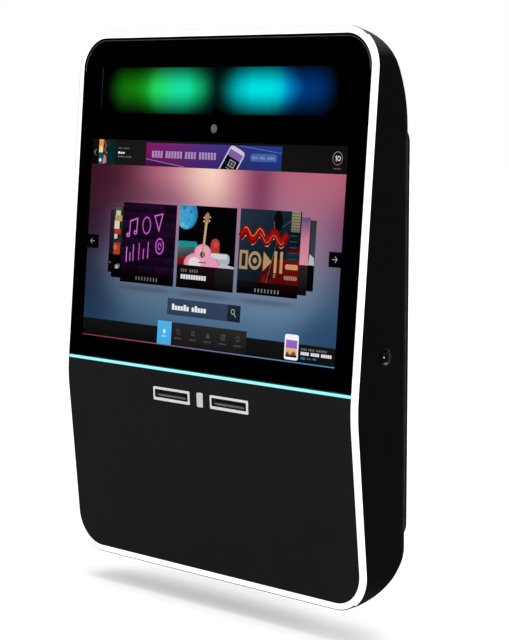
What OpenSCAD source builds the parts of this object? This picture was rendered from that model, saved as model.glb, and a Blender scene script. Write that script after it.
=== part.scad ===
// Wall-hung digital jukebox with a touch screen. Millimetres, +Z up, front towards -Y.
// The origin is the centre of the wall tray's wall face, so the wall is the plane Y = 0.
// The front housing is a door: it swings on two hidden hinges at its rear left edge.

/* [Housing] */
// Housing beyond the screen's picture, at each side
side_border = 48.15; // [46:0.05:54]
// Height of the waist line above the bottom edge
waist_h = 315.2; // [306:0.2:330]
// Face above the light bar's window, up to the top edge
top_border = 60.95; // [56:0.05:68]
// Depth from the waist line to the housing's flat back
case_d = 125; // [122:0.5:140]
// Backward lean of the screen face, in degrees
tilt_up = 4.8; // [4.2:0.1:5.2]
// Backward lean of the lower face, in degrees
tilt_down = 5.2; // [4.6:0.1:5.8]
// Radius of the bend between the two faces
waist_r = 300; // [260:5:340]
// Corner radius of the front outline
corner_r = 66; // [60:1:72]
// Wall thickness of the housing
wall_t = 3; // [2.6:0.1:3.4]
// Rounding of the housing's upright rear edges
back_edge_r = 20; // [17:0.5:23]
// Depth of the curve behind the top
top_curve_d = 92; // [84:1:98]
// Height of the curve behind the top
top_curve_h = 252; // [240:1:258]
// Fullness of the curve behind the top, where 2 is an ellipse
top_curve_p = 2; // [1.8:0.05:2.2]
// Depth of the curve behind the bottom
bottom_curve_d = 110; // [104:1:116]
// Height of the curve behind the bottom
bottom_curve_h = 114.4; // [108:0.2:120]
// Fullness of the curve behind the bottom
bottom_curve_p = 1.4; // [1.3:0.05:1.6]

/* [Light frame and glass] */
// Width of the white band round the front
band_w = 11.75; // [10.5:0.25:13]
// Thickness of the white band, the glass's rear face and the panel's rear face
band_t = 4.4; // [4:0.1:5]
// How far the glass and the lower panel lie behind the band's face
glass_recess = 0.4; // [0.2:0.1:0.8]
// Depth of the carrier behind the band
carrier_t = 9; // [8.5:0.5:10]
// Inset of the carrier's inner edge from the outline
carrier_in = 29; // [27:0.5:31]
// Height of the waist light above the waist line, along the face
waist_light_s = 27.85; // [27:0.05:30]
// Thickness of the waist light
waist_light_h = 6; // [5:0.5:7]

/* [Screen and light bar] */
// Width of the screen's picture
screen_w = 597.7; // [590:0.1:640]
// Height of the screen's picture
screen_h = 336.2; // [330:0.1:360]
// Face between the waist line and the picture
screen_rise = 67.5; // [66:0.1:74]
// Rim of the screen module round its picture
screen_rim = 6.5; // [5:0.5:7]
// Thickness of the screen module
screen_t = 12; // [9:0.5:14]
// Face between the picture and the light bar's window
bar_gap = 44.8; // [43:0.1:50]
// Height of the light bar's window
bar_h = 75.8; // [70:0.2:82]
// How much narrower than the picture the light bar's window is, at each side
bar_inset = 23.25; // [20:0.05:30]
// Diameter of the sensor window between the picture and the light bar
camera_d = 14.5; // [12:0.5:16]

/* [Slots] */
// Distance of the slots' centres below the waist line, along the face
slot_drop = 14; // [13:0.5:16]
// Distance between the centres of the two slots
slot_pitch = 137.6; // [130:0.2:150]
// Width of a slot bezel
bezel_w = 88.4; // [84:0.2:92]
// Height of a slot bezel
bezel_h = 22.4; // [20:0.2:24]
// Width of a bezel's rim at its top and sides
bezel_rim = 4; // [3:0.1:4.4]
// Height of the entry slit for notes and cards
slit_h = 6; // [5.6:0.1:6.4]
// Width of the status lens
lens_w = 14; // [12:0.5:18]
// Height of the status lens
lens_h = 24; // [20:0.5:26]
// Travel of the note cassette on its rails
cassette_travel = 18; // [12:1:18]

/* [Lock] */
// Height of the lock's axis above the waist line
lock_rise = 83.9; // [78:0.1:92]
// Depth of the lock's axis behind the waist line
lock_depth = 65.2; // [63:0.1:70]
// Radius of the lock's visible rim
lock_rim_r = 14; // [13:0.1:15]
// Length of the cam from the lock's axis to its tip
cam_len = 38; // [32:0.5:42]

/* [Wall tray] */
// How far the tray's sides lie inside the housing's sides
tray_side = 22.5; // [14:0.5:24]
// How far the tray's top edge lies below the housing's top edge
tray_drop = 146.4; // [140:0.2:152]
// Height of the tray's bottom edge above the housing's bottom edge
tray_rise = 97; // [92:0.5:100]
// Depth of the tray behind the housing
tray_d = 18; // [17:0.5:24]
// Corner radius of the tray
tray_r = 30; // [24:1:36]
// Sheet thickness of the tray and the chassis
sheet_t = 2; // [1.5:0.1:2.4]
// Distance between wall screws across
wall_pitch_x = 406.4; // [380:0.2:450]
// Distance between wall screws upright
wall_pitch_z = 580; // [570:1:600]
// Radius of the wall screw holes
wall_hole_r = 4.5; // [3:0.1:6]
// Radius of the cable grommet's bore
cable_r = 14; // [10:0.5:17]

/* [Electronics] */
// Width of the computer case
pc_w = 208; // [200:1:214]
// Height of the computer case
pc_h = 220; // [210:1:230]
// Depth of the computer case in front of the chassis plate
pc_d = 44; // [42:1:48]
// Width of the power supply
supply_w = 130; // [120:1:136]
// Height of the power supply
supply_h = 145; // [130:1:160]
// Depth of the power supply
supply_d = 40; // [34:1:44]
// Width of the amplifier board
amp_w = 156; // [146:1:160]
// Height of the amplifier board
amp_h = 210; // [200:1:220]
// Radius of the fan's blades
fan_r = 27; // [24:0.5:28]
// Number of fan blades
fan_blades = 7; // [5:1:9]
// Travel of a volume button
button_travel = 3; // [2:0.5:4]
// Swing of the mains rocker, in degrees
rocker_swing = 20; // [16:1:24]

/* [Hidden] */
$fn = 48;

// Clearances and rules shared by the pieces
fit = 0.2;
running = 0.05;
over = 1;
reach = 700;
arc_n = 14;
bend_n = 12;
curve_n = 22;

// Overall sizes
case_w = screen_w + 2*side_border;
screen_s = screen_rise + screen_h/2;
bar_w = screen_w - 2*bar_inset;
bar_s = screen_rise + screen_h + bar_gap + bar_h/2;
camera_s = screen_rise + screen_h + bar_gap/2 - 0.5;
case_h = waist_h + (bar_s + bar_h/2 + top_border)*cos(tilt_up);
tray_w = case_w - 2*tray_side;
tray_h = case_h - tray_drop - tray_rise;

// Main levels
z_waist = -tray_h/2 - tray_rise + waist_h;
z_top = z_waist + case_h - waist_h;
z_bottom = z_waist - waist_h;
y_back = -tray_d;
y_waist = y_back - case_d;
y_front = y_waist - 20;
carrier_back = band_t + carrier_t;
carrier_x = case_w/2 - carrier_in;

// Centre of the bend between the two faces, from the waist line
bend_z = waist_r*(cos(tilt_up) - cos(tilt_down))/sin(tilt_up + tilt_down);
bend_y = (waist_r + bend_z*sin(tilt_up))/cos(tilt_up);

// Slots: they lie on the bend, square to the face there
slot_tilt = asin((slot_drop + bend_z)/waist_r);
slot_y = bend_y - waist_r*cos(slot_tilt);
slot_z = bend_z - waist_r*sin(slot_tilt);
slot_x = slot_pitch/2;
flange_y = 8;
flange_t = 2;
flange_w = 114;
flange_h = 48;
boss_r = 4;
boss_x = 52;
boss_z = 18;
pilot_r = 1.55;

// Hinge: its axis is the centre of the rear left edge's rounding
hinge_x = -case_w/2 + back_edge_r;
hinge_y = y_back - back_edge_r;
hinge_low = 69.3;
hinge_high = 60.7;
pin_r = 3;
knuckle_r = 7;
knuckle_h = 14;
leaf_knuckle_h = 12;
leaf_t = 3;
arm_t = 5;
arm_front = 8.5;
arm_x = 25;
arm_h = 40;

// Rear opening of the housing
door_lip = 2;
opening_x = case_w/2 - back_edge_r - door_lip;
opening_z0 = z_bottom + bottom_curve_h + 10.8;
opening_z1 = z_top - top_curve_h - 1.2;
opening_r = 12;
hinge_zs = [opening_z0 + hinge_low, opening_z1 - hinge_high];

// Rails behind the glass
rail_x1 = carrier_x + 12;
rail_x0 = rail_x1 - 23.6;
rail_t = 12;
rail_wall = 2;
rail_back = carrier_back + rail_t;
rail_s0 = waist_light_s + 17.15;
rail_s1 = bar_s + 53.6;
rail_x = (rail_x0 + rail_x1)/2;
ear_t = 2;
ear_h = 40;
ear_pitch = 220;
ear_x = rail_x1 - 4;

// Housing tabs that the carrier is screwed to
tab_t = 4;
tab_in = 15;
tab_h = 16;
tab_s = [screen_rise + 42.5, screen_s + 64.4, bar_s + 3.6, -0.285*waist_h, -0.67*waist_h];
tab_x = case_w/2 - 9;
tab_hole_r = 1.6;

// Screen stack
mask_t = 0.5;
mask_back = band_t + mask_t;
screen_back = mask_back + screen_t;
chassis_in = 15;
chassis_t = 18;
chassis_wall = 1.5;
module_w = screen_w + 2*screen_rim;
module_h = screen_h + 2*screen_rim;
pan_x = module_w/2 - chassis_in;
pan_h = module_h - 2*chassis_in;
pan_back = screen_back + chassis_t;

// Light bar stack
diffuser_t = 3;
diffuser_back = mask_back + diffuser_t;
bar_border = 4;
bar_box_t = 20;
bar_box_x = bar_w/2 + bar_border + 2;
bar_box_h = bar_h + 2*bar_border + 4;
bar_wall = 2;

// Waist crossbar
cross_h = 30;
cross_s0 = waist_light_s - cross_h/2 - 0.85;
cross_s1 = cross_s0 + cross_h;
cross_t = 4;
guide_t = 4;
cross_x = (carrier_x + rail_x1)/2;

// Lock: positions from the side wall inwards
lock_y = y_waist + lock_depth;
lock_z = z_waist + lock_rise;
cup_r = lock_rim_r - 1;
cup_in_r = cup_r - 1.2;
cup_d = 4.2;
cup_len = 9;
lock_rim_t = 0.6;
barrel_r = 9.5;
barrel_len = 31;
plug_r = 6.25;
plug_len = 32.5;
cam_t = 2.5;
cam_w = 15;
cam_square = 8;
keeper_t = 3;
keeper_h = 24;
keeper_x1 = case_w/2 - plug_len + 5.5;
keeper_x0 = keeper_x1 - 15;

// Chassis and what stands on it
cable_room = 34.3;
stud_h = 12;
stud_r = 5;
plate_y = -sheet_t - stud_h - sheet_t;
plate_gap = 34.5;
plate_x = tray_w/2 - plate_gap;
plate_z0 = opening_z0 + cable_room;
plate_z1 = opening_z1 + 4.3;
plate_r = 8;
stud_x = plate_x - 9;
stud_zs = [plate_z0 + 20, (plate_z0 + plate_z1)/2, plate_z1 - 20];
edge_x = plate_x - 20;
edge_z = plate_z1 - 20;
post_r = 3;
post_inset = 6;
board_t = 1.6;

// Computer
pc_x0 = -edge_x;
pc_x1 = pc_x0 + pc_w;
pc_z1 = edge_z;
pc_z0 = pc_z1 - pc_h;
pc_wall = 1.5;
pc_y = plate_y - pc_d;
board_margin = 8;
board_w = 170;
board_h = 120;
board_x0 = pc_x0 + board_margin;
board_z1 = pc_z1 - board_margin + 1;
board_z0 = board_z1 - board_h;
board_y = plate_y - pc_wall - 4.5;
sink_w = 60;
sink_h = 18.4;
fan_x = board_x0 + 72;
fan_z = board_z0 + board_h/2 + 2;
fan_t = 15;
sink_top = board_y - board_t - sink_h;
drive_w = 100;
drive_h = 70;
drive_t = 7;

// Power supply, amplifier and the modules below them
supply_x0 = pc_x1 + 20;
supply_x1 = supply_x0 + supply_w;
supply_z1 = edge_z;
supply_z0 = supply_z1 - supply_h;
amp_x1 = edge_x - 2;
amp_x0 = amp_x1 - amp_w;
amp_z1 = edge_z - 5;
amp_z0 = amp_z1 - amp_h;
amp_y = plate_y - 6.4;
amp_sink_y = amp_y - board_t - 4;
terminals_w = 120;
terminals_h = 35;
terminals_d = 28;
terminals_x0 = amp_x0 + 18;
terminals_z1 = amp_z0 - 15;
net_w = 70;
net_h = 40;
net_d = 26;
net_x0 = supply_x0 + 52;
net_z0 = supply_z0 - 70;

// Mains inlet
inlet_z = pc_z0 - 57;
inlet_y = plate_y - 26;
inlet_x = pc_x0 + 38;
rocker_x = inlet_x + 50;

// Service panel with the volume buttons
service_w = 122;
service_h = 80;
service_d = 44;
service_x1 = edge_x + 2;
service_x0 = service_x1 - service_w;
service_z1 = terminals_z1 - 70;
service_z0 = service_z1 - service_h;
service_y = plate_y - service_d;
button_r = 5;
button_xs = [service_x0 + 40, service_x0 + 82];
button_z = (service_z0 + service_z1)/2;
cable_z = plate_z0 - cable_room/2 + 0.15;

// Points of an arc about c, from angle a0 to a1
function arc(c, r, a0, a1, n = arc_n) =
    [for (i = [0:n]) let (a = a0 + (a1 - a0)*i/n) c + r*[cos(a), sin(a)]];

// A rectangle with round corners
function round_rect(lo, hi, r) = concat(
    arc([hi[0] - r, hi[1] - r], r, 0, 90), arc([lo[0] + r, hi[1] - r], r, 90, 180),
    arc([lo[0] + r, lo[1] + r], r, 180, 270), arc([hi[0] - r, lo[1] + r], r, 270, 360));

function flip(p) = [for (i = [len(p) - 1:-1:0]) p[i]];

// Front outline, seen from the front, drawn in by an inset
function outline(inset) = round_rect([-case_w/2 + inset, z_bottom + inset],
    [case_w/2 - inset, z_top - inset], corner_r - inset);

// Side view of the face, from the top down, at a depth behind the light frame's face
function face(n) = concat(
    [[n*cos(tilt_up) + reach*sin(tilt_up), reach*cos(tilt_up) - n*sin(tilt_up)]],
    [for (i = [0:bend_n]) let (t = tilt_up - i*(tilt_up + tilt_down)/bend_n)
        [bend_y - (waist_r - n)*cos(t), bend_z + (waist_r - n)*sin(t)]],
    [[n*cos(tilt_down) + reach*sin(tilt_down), n*sin(tilt_down) - reach*cos(tilt_down)]]);

// A quarter of a rounded curve, from [0, h] to [d, 0]
function quarter(d, h, p) =
    [for (i = [0:curve_n]) [d*pow(sin(90*i/curve_n), 2/p), h*pow(cos(90*i/curve_n), 2/p)]];

// Side view of the housing, drawn in by an inset, open towards the front
function side_view(inset) =
    let (top = [y_back - top_curve_d, z_top - top_curve_h],
        bottom = [y_back - bottom_curve_d, z_bottom + bottom_curve_h])
    concat([[y_front, z_top - inset]],
        [for (q = quarter(top_curve_d - inset + over/2, top_curve_h - inset, top_curve_p))
            top + q],
        flip([for (q = quarter(bottom_curve_d - inset + over/2, bottom_curve_h - inset,
            bottom_curve_p)) bottom + [q[0], -q[1]]]),
        [[y_front, z_bottom + inset]]);

// Plan view of the housing, drawn in by an inset, open towards the front
function plan_view(inset) = concat([[case_w/2 - inset, y_front]],
    arc([-hinge_x, hinge_y], back_edge_r - inset, 0, 90),
    arc([hinge_x, hinge_y], back_edge_r - inset, 90, 180), [[-case_w/2 + inset, y_front]]);

module block(lo, hi) translate(lo) cube(hi - lo);

// A cylinder along Y, from y0 to y1
module rod_y(x, z, r, y0, y1) translate([x, y1, z]) rotate([90, 0, 0]) cylinder(h = y1 - y0, r = r);

// A cylinder along X, from x0 to x1
module rod_x(y, z, r, x0, x1) translate([x0, y, z]) rotate([0, 90, 0]) cylinder(h = x1 - x0, r = r);

module prism_x(points, half) translate([-half, 0, 0]) rotate([90, 0, 90])
    linear_extrude(2*half) polygon(points);

module prism_y(points, y0, y1) translate([0, y1, 0]) rotate([90, 0, 0])
    linear_extrude(y1 - y0) polygon(points);

module prism_z(points, z0, z1) translate([0, 0, z0]) linear_extrude(z1 - z0) polygon(points);

// Frames on the object: the screen face, the lower face and the slots.
// In each, X runs across, Y runs into the body and Z runs up along the face.
module upper() translate([0, y_waist, z_waist]) rotate([-tilt_up, 0, 0]) children();
module lower() translate([0, y_waist, z_waist]) rotate([tilt_down, 0, 0]) children();
module slots() translate([0, y_waist + slot_y, z_waist + slot_z]) rotate([slot_tilt, 0, 0])
    children();
module on_face(s) if (s > 0) upper() translate([0, 0, s]) children();
    else lower() translate([0, 0, s]) children();

// The lock's frame: Z runs inwards from the side wall, Y backwards and X up
module at_lock() translate([case_w/2, lock_y, lock_z]) rotate([0, -90, 0]) children();

module both_sides() for (m = [0, 1]) mirror([m, 0, 0]) children();

// A sheet that follows the whole face between two depths
module face_sheet(n0, n1) translate([0, y_waist, z_waist])
    prism_x(concat(face(n0), flip(face(n1))), case_w/2 + over);

// Everything behind the face at one depth
module behind_face(n) translate([0, y_waist, z_waist])
    prism_x(concat(face(n), [[case_d*2, -reach], [case_d*2, reach]]), case_w/2 + over);

module inside_outline(inset) prism_y(outline(inset), y_front, y_back + over);

module ring(outer, inner) difference() {
    inside_outline(outer);
    prism_y(outline(inner), y_front - over, y_back + 2*over);
}

// The outer form of the housing, drawn in by an inset
module housing_form(inset) intersection() {
    inside_outline(inset);
    prism_x(side_view(inset), case_w/2 + over);
    prism_z(plan_view(inset), z_bottom - 2*over, z_top + 2*over);
}

module housing_shell() color([0.06, 0.06, 0.06]) {
    difference() {
        intersection() { housing_form(0); behind_face(band_t); }
        housing_form(wall_t);
        prism_y(round_rect([-opening_x, opening_z0], [opening_x, opening_z1], opening_r),
            y_back - 3*wall_t, y_back + 2*over);
        at_lock() translate([0, 0, -over]) cylinder(h = wall_t + 2*over, r = cup_r + running);
    }
    for (s = tab_s) both_sides() on_face(s) difference() {
        block([case_w/2 - tab_in, carrier_back, -tab_h/2],
            [case_w/2 - wall_t + over, carrier_back + tab_t, tab_h/2]);
        rod_y(tab_x, 0, tab_hole_r, carrier_back - over, carrier_back + tab_t + over);
    }
}

foot_out = 10;
foot_in = 18.1;
foot_t = 2;
leg_w = 1.2;
floor_n = band_t + 5;

module light_frame() color("white") {
    intersection() { face_sheet(0, band_t); ring(0, band_w); }
    intersection() {
        housing_form(wall_t + fit);
        union() {
            intersection() { face_sheet(band_t, band_t + foot_t); ring(foot_out, foot_in); }
            intersection() { face_sheet(band_t + foot_t, floor_n); ring(foot_in - leg_w, foot_in); }
        }
    }
}

module light_frame_carrier() color([0.12, 0.12, 0.13]) difference() {
    intersection() {
        housing_form(wall_t + fit);
        union() {
            intersection() { face_sheet(floor_n, carrier_back); ring(wall_t + fit, carrier_in); }
            intersection() { face_sheet(band_t, floor_n); ring(foot_in + fit, carrier_in); }
        }
    }
    for (s = tab_s) both_sides() on_face(s)
        rod_y(tab_x, 0, tab_hole_r, carrier_back - cross_t + 0.8, carrier_back + over);
    upper() both_sides()
        rod_y(cross_x, cross_s0 + cross_h/2, pilot_r, carrier_back - 3.2, carrier_back + over);
}

led_in = 13;
led_w = 3;
led_t = 1;

module light_frame_leds() color([0.9, 0.9, 0.85]) intersection() {
    housing_form(wall_t + fit);
    face_sheet(floor_n - led_t, floor_n);
    ring(led_in, led_in + led_w);
}

screw_head_r = 3;
screw_head_t = 2.4;
ear_screw_r = 2;
boss_screw_len = 6;

// A screw along Y: its head's rear face at y, its tip towards the front
module screw(x, y, z, r, length, head_r) {
    rod_y(x, z, r, y - length, y);
    rod_y(x, z, head_r, y, y + screw_head_t);
}

module front_screws() color([0.6, 0.6, 0.62]) {
    for (s = tab_s) both_sides() on_face(s)
        screw(tab_x, carrier_back + tab_t, 0, tab_hole_r - running, tab_t + 3, screw_head_r);
    upper() both_sides() {
        for (e = [-0.5, 0.5])
            screw(rail_x, rail_back + ear_t, screen_s + e*ear_pitch, ear_screw_r, 6, screw_head_r);
        screw(rail_x, rail_back + ear_t, bar_s, ear_screw_r, 6, screw_head_r);
        screw(cross_x, carrier_back + cross_t, cross_s0 + cross_h/2, pilot_r - running, cross_t + 3,
            screw_head_r);
    }
    slots() for (c = [-slot_x, slot_x]) for (i = [-1, 1]) for (k = [-1, 1])
        screw(c + i*boss_x, flange_y + flange_t, k*boss_z, pilot_r - running, boss_screw_len,
            screw_head_r);
}

module front_glass() color([0.1, 0.1, 0.12, 0.5]) intersection() {
    inside_outline(band_w + fit);
    upper() block([-case_w/2, glass_recess, waist_light_s + waist_light_h/2 + fit],
        [case_w/2, band_t, reach]);
}

module glass_mask() color("black") difference() {
    intersection() {
        inside_outline(carrier_in + fit);
        upper() block([-case_w/2, band_t, cross_s1 + fit], [case_w/2, mask_back, reach]);
    }
    upper() {
        block([-screen_w/2, 0, screen_s - screen_h/2], [screen_w/2, screen_back, screen_s + screen_h/2]);
        block([-bar_w/2, 0, bar_s - bar_h/2], [bar_w/2, screen_back, bar_s + bar_h/2]);
        rod_y(0, camera_s, camera_d/2, 0, screen_back);
    }
}

module display_panel() color([0.2, 0.25, 0.4]) upper() difference() {
    block([-module_w/2, mask_back, screen_s - module_h/2], [module_w/2, screen_back, screen_s + module_h/2]);
    block([-screen_w/2, mask_back - over, screen_s - screen_h/2],
        [screen_w/2, mask_back + mask_t, screen_s + screen_h/2]);
}

// A fixing ear that reaches from a box's side to the rail
module ear(x0, s, height) difference() {
    block([x0, rail_back, s - height/2], [ear_x, rail_back + ear_t, s + height/2]);
    rod_y(rail_x, s, ear_screw_r + running, rail_back - over, rail_back + ear_t + over);
}

module display_chassis() color([0.62, 0.63, 0.65]) upper() {
    difference() {
        block([-pan_x, screen_back, screen_s - pan_h/2], [pan_x, pan_back, screen_s + pan_h/2]);
        block([-pan_x + chassis_wall, screen_back - over, screen_s - pan_h/2 + chassis_wall],
            [pan_x - chassis_wall, pan_back - chassis_wall, screen_s + pan_h/2 - chassis_wall]);
    }
    both_sides() for (e = [-0.5, 0.5]) ear(pan_x - chassis_wall, screen_s + e*ear_pitch, ear_h);
}

module display_rails() color([0.5, 0.51, 0.53]) upper() both_sides() difference() {
    block([rail_x0, carrier_back, rail_s0], [rail_x1, rail_back, rail_s1]);
    block([rail_x0 + rail_wall, carrier_back + rail_wall, rail_s0 - over],
        [rail_x1 - rail_wall, rail_back - rail_wall, rail_s1 + over]);
    for (s = [screen_s - ear_pitch/2, screen_s + ear_pitch/2, bar_s])
        rod_y(rail_x, s, ear_screw_r + running, rail_back - rail_wall - over, rail_back + over);
}

driver_w = 160;
driver_h = 96;
post_h = 5;

module display_driver_board() color([0.05, 0.3, 0.12]) upper() translate([0, pan_back, screen_s]) {
    block([-driver_w/2, post_h, -driver_h/2], [driver_w/2, post_h + board_t, driver_h/2]);
    for (i = [-1, 1]) for (k = [-1, 1])
        rod_y(i*(driver_w/2 - 6), k*(driver_h/2 - 6), 3, 0, post_h + board_t/2);
    block([-30, post_h, -14], [0, post_h + board_t + 3, 14]);
    block([20, post_h, 8], [44, post_h + board_t + 5, 32]);
    block([-70, post_h, -44], [-10, post_h + board_t + 7, -36]);
}

module light_bar_diffuser() color([0.92, 0.95, 0.95, 0.8]) upper()
    block([-bar_w/2 - bar_border, mask_back, bar_s - bar_h/2 - bar_border],
        [bar_w/2 + bar_border, diffuser_back, bar_s + bar_h/2 + bar_border]);

module light_bar_housing() color([0.1, 0.1, 0.1]) upper() {
    difference() {
        block([-bar_box_x, diffuser_back, bar_s - bar_box_h/2],
            [bar_box_x, diffuser_back + bar_box_t, bar_s + bar_box_h/2]);
        block([-bar_box_x + bar_wall, diffuser_back - over, bar_s - bar_box_h/2 + bar_wall],
            [bar_box_x - bar_wall, diffuser_back + bar_box_t - bar_wall,
                bar_s + bar_box_h/2 - bar_wall]);
    }
    both_sides() ear(bar_box_x - bar_wall, bar_s, ear_h/2);
}

led_count = 14;
led_size = 5;

module light_bar_board() color([0.9, 0.9, 0.9]) upper()
    translate([0, diffuser_back + bar_box_t - bar_wall, bar_s]) {
        block([-bar_w/2, -board_t, -bar_h/2], [bar_w/2, 0, bar_h/2]);
        for (i = [0:led_count - 1]) for (k = [-1, 1])
            translate([(i - (led_count - 1)/2)*bar_w/led_count, -board_t - 0.6, k*bar_h/4])
                cube([led_size, 1.4, led_size], center = true);
    }

lens_t = 3;
camera_w = 30;
camera_h = 24;
camera_t = 12;

module camera_lens() color([0.3, 0.3, 0.32]) upper()
    rod_y(0, camera_s, camera_d/2 - running, band_t + running, mask_back + lens_t);

module camera_module() color([0.08, 0.08, 0.08]) upper() difference() {
    block([-camera_w/2, mask_back, camera_s - camera_h/2],
        [camera_w/2, mask_back + camera_t, camera_s + camera_h/2]);
    rod_y(0, camera_s, camera_d/2, mask_back - over, mask_back + lens_t + running);
}

module waist_crossbar() color([0.1, 0.1, 0.11]) difference() {
    union() {
        intersection() {
            face_sheet(band_t, carrier_back + over);
            upper() block([-carrier_x + fit, 0, cross_s0], [carrier_x - fit, reach, cross_s1]);
        }
        intersection() {
            face_sheet(carrier_back, carrier_back + cross_t);
            upper() block([-rail_x1, 0, cross_s0], [rail_x1, reach, cross_s1]);
        }
    }
    upper() {
        block([-carrier_x, 0, waist_light_s - waist_light_h/2 - fit],
            [carrier_x, band_t + guide_t + 2, waist_light_s + waist_light_h/2 + fit]);
        both_sides() rod_y(cross_x, cross_s0 + cross_h/2, pilot_r, carrier_back - over,
            carrier_back + cross_t + over);
    }
}

module waist_light() color([0.6, 0.97, 0.98]) upper() translate([0, 0, waist_light_s]) {
    block([-case_w/2 + band_w + fit, glass_recess/2, -waist_light_h/2],
        [case_w/2 - band_w - fit, band_t, waist_light_h/2]);
    block([-carrier_x + 2*fit, band_t - over, -waist_light_h/2],
        [carrier_x - 2*fit, band_t + guide_t, waist_light_h/2]);
}

module waist_light_board() color([0.9, 0.9, 0.9]) upper() translate([0, 0, waist_light_s]) {
    block([-carrier_x + 2*fit, band_t + guide_t + 1, -waist_light_h/2],
        [carrier_x - 2*fit, band_t + guide_t + 2, waist_light_h/2]);
    for (i = [0:led_count - 1])
        translate([(i - (led_count - 1)/2)*2*carrier_x/led_count, band_t + guide_t + 0.7, 0])
            cube([3, 1, 3], center = true);
}

module lower_panel() color([0.1, 0.1, 0.1]) difference() {
    union() {
        intersection() {
            face_sheet(glass_recess, band_t);
            inside_outline(band_w + fit);
            upper() block([-case_w, -reach, -2*reach],
                [case_w, reach, waist_light_s - waist_light_h/2 - fit]);
        }
        slots() for (c = [-slot_x, slot_x]) for (i = [-1, 1]) for (k = [-1, 1])
            rod_y(c + i*boss_x, k*boss_z, boss_r, band_t - 2*over, flange_y);
    }
    slots() {
        for (c = [-slot_x, slot_x]) {
            block([c - bezel_w/2 - fit, -5, -bezel_h/2 - fit],
                [c + bezel_w/2 + fit, flange_y + over, bezel_h/2 + fit]);
            for (i = [-1, 1]) for (k = [-1, 1])
                rod_y(c + i*boss_x, k*boss_z, pilot_r, flange_y + flange_t - boss_screw_len - fit,
                    flange_y + over);
        }
        block([-lens_w/2 - fit, -5, -lens_h/2 - fit],
            [lens_w/2 + fit, flange_y + over, lens_h/2 + fit]);
    }
}

bezel_proud = 0.6;
clip_y = 5;
clip_t = 1.4;
clip_w = 2.6;

module bezel(c) color([0.85, 0.85, 0.86]) slots() difference() {
    union() {
        prism_y(round_rect([c - bezel_w/2, -bezel_h/2], [c + bezel_w/2, bezel_h/2], 2), -bezel_proud,
            flange_y);
        block([c - bezel_w/2 - clip_w, clip_y, -bezel_h/2 - clip_w],
            [c + bezel_w/2 + clip_w, clip_y + clip_t, bezel_h/2 + clip_w]);
    }
    block([c - bezel_w/2 + bezel_rim, -5, -bezel_h/2 + bezel_rim + 1],
        [c + bezel_w/2 - bezel_rim, flange_y + over, bezel_h/2 - bezel_rim]);
}

module note_bezel() bezel(-slot_x);
module card_bezel() bezel(slot_x);

module status_lens() color([0.8, 0.8, 0.8]) slots() {
    prism_y(round_rect([-lens_w/2, -lens_h/2], [lens_w/2, lens_h/2], 3), -bezel_proud, clip_y + fit);
    block([-lens_w/2 - 1.5, clip_y, -lens_h/2 - 1.5], [lens_w/2 + 1.5, clip_y + clip_t, lens_h/2 + 1.5]);
}

// Entry of the note validator and the card reader: a snout inside the bezel and a flange
slit_z0 = -0.4;
slit_x = 35;
snout_y = 4;
lip_y = 1.2;
lip_h = 3;
snout_x = bezel_w/2 - bezel_rim - fit;

module entry(c, slit_end) difference() {
    union() {
        block([c - snout_x, snout_y, -bezel_h/2 + bezel_rim + 1 + fit],
            [c + snout_x, flange_y + over, bezel_h/2 - bezel_rim - fit]);
        block([c - slit_x - 1, lip_y, slit_z0 - fit - lip_h], [c + slit_x + 1, snout_y + over, slit_z0 - fit]);
        block([c - flange_w/2, flange_y, -flange_h/2], [c + flange_w/2, flange_y + flange_t, flange_h/2]);
    }
    block([c - slit_x, snout_y - over, slit_z0], [c + slit_x, slit_end, slit_z0 + slit_h]);
    for (i = [-1, 1]) for (k = [-1, 1])
        rod_y(c + i*boss_x, k*boss_z, pilot_r + running, flange_y - over, flange_y + flange_t + over);
}

body_y = flange_y + flange_t;
validator_x = 46;
validator_wall = 4;
validator_z0 = -34;
validator_z1 = 23;
validator_y1 = 92;
path_z = slit_z0 + slit_h/2;
roller_r = 6.2;
roller_gap = 0.2;
roller_y = 24;
shaft_r = 2;
roller_dz = roller_r + roller_gap/2;

module note_validator() color([0.13, 0.13, 0.14]) slots() {
    entry(-slot_x, body_y + over);
    difference() {
        block([-slot_x - validator_x, body_y, validator_z0], [-slot_x + validator_x, validator_y1, validator_z1]);
        block([-slot_x - validator_x + validator_wall, body_y + validator_wall, validator_z0 + validator_wall],
            [-slot_x + validator_x - validator_wall, validator_y1 - validator_wall,
                validator_z1 - validator_wall]);
        block([-slot_x - slit_x, body_y - over, slit_z0],
            [-slot_x + slit_x, body_y + validator_wall + over, slit_z0 + slit_h]);
        block([-slot_x - slit_x, 60, validator_z0 - over], [-slot_x + slit_x, 66, 0]);
        for (k = [-1, 1]) rod_x(roller_y, path_z + k*roller_dz, shaft_r + running,
            -slot_x - validator_x - over, -slot_x + validator_x + over);
    }
}

module roller(k) slots() {
    rod_x(roller_y, path_z + k*roller_dz, shaft_r, -slot_x - validator_x + 0.5, -slot_x + validator_x - 0.5);
    for (i = [-1, 0, 1]) rod_x(roller_y, path_z + k*roller_dz, roller_r, -slot_x + 26*i - 4, -slot_x + 26*i + 4);
    rod_x(roller_y, path_z + k*roller_dz, shaft_r + 1.4, -slot_x + 37, -slot_x + 41.5);
}

module note_drive_roller() color([0.2, 0.2, 0.2]) roller(1);
module note_pinch_roller() color([0.35, 0.35, 0.35]) roller(-1);

rail_drop = 8;
lip_in = 5.8;
cassette_y0 = 28;
cassette_y1 = 86;
cassette_h = 140;
cassette_x = validator_x - lip_in;

module cassette_rails() color([0.6, 0.6, 0.62]) slots() translate([-slot_x, 0, validator_z0]) both_sides() {
    block([validator_x - 2, cassette_y0, -rail_drop], [validator_x, validator_y1, 0]);
    block([cassette_x + 0.4, cassette_y0, -rail_drop], [validator_x, validator_y1, -rail_drop + 2]);
}

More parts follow.
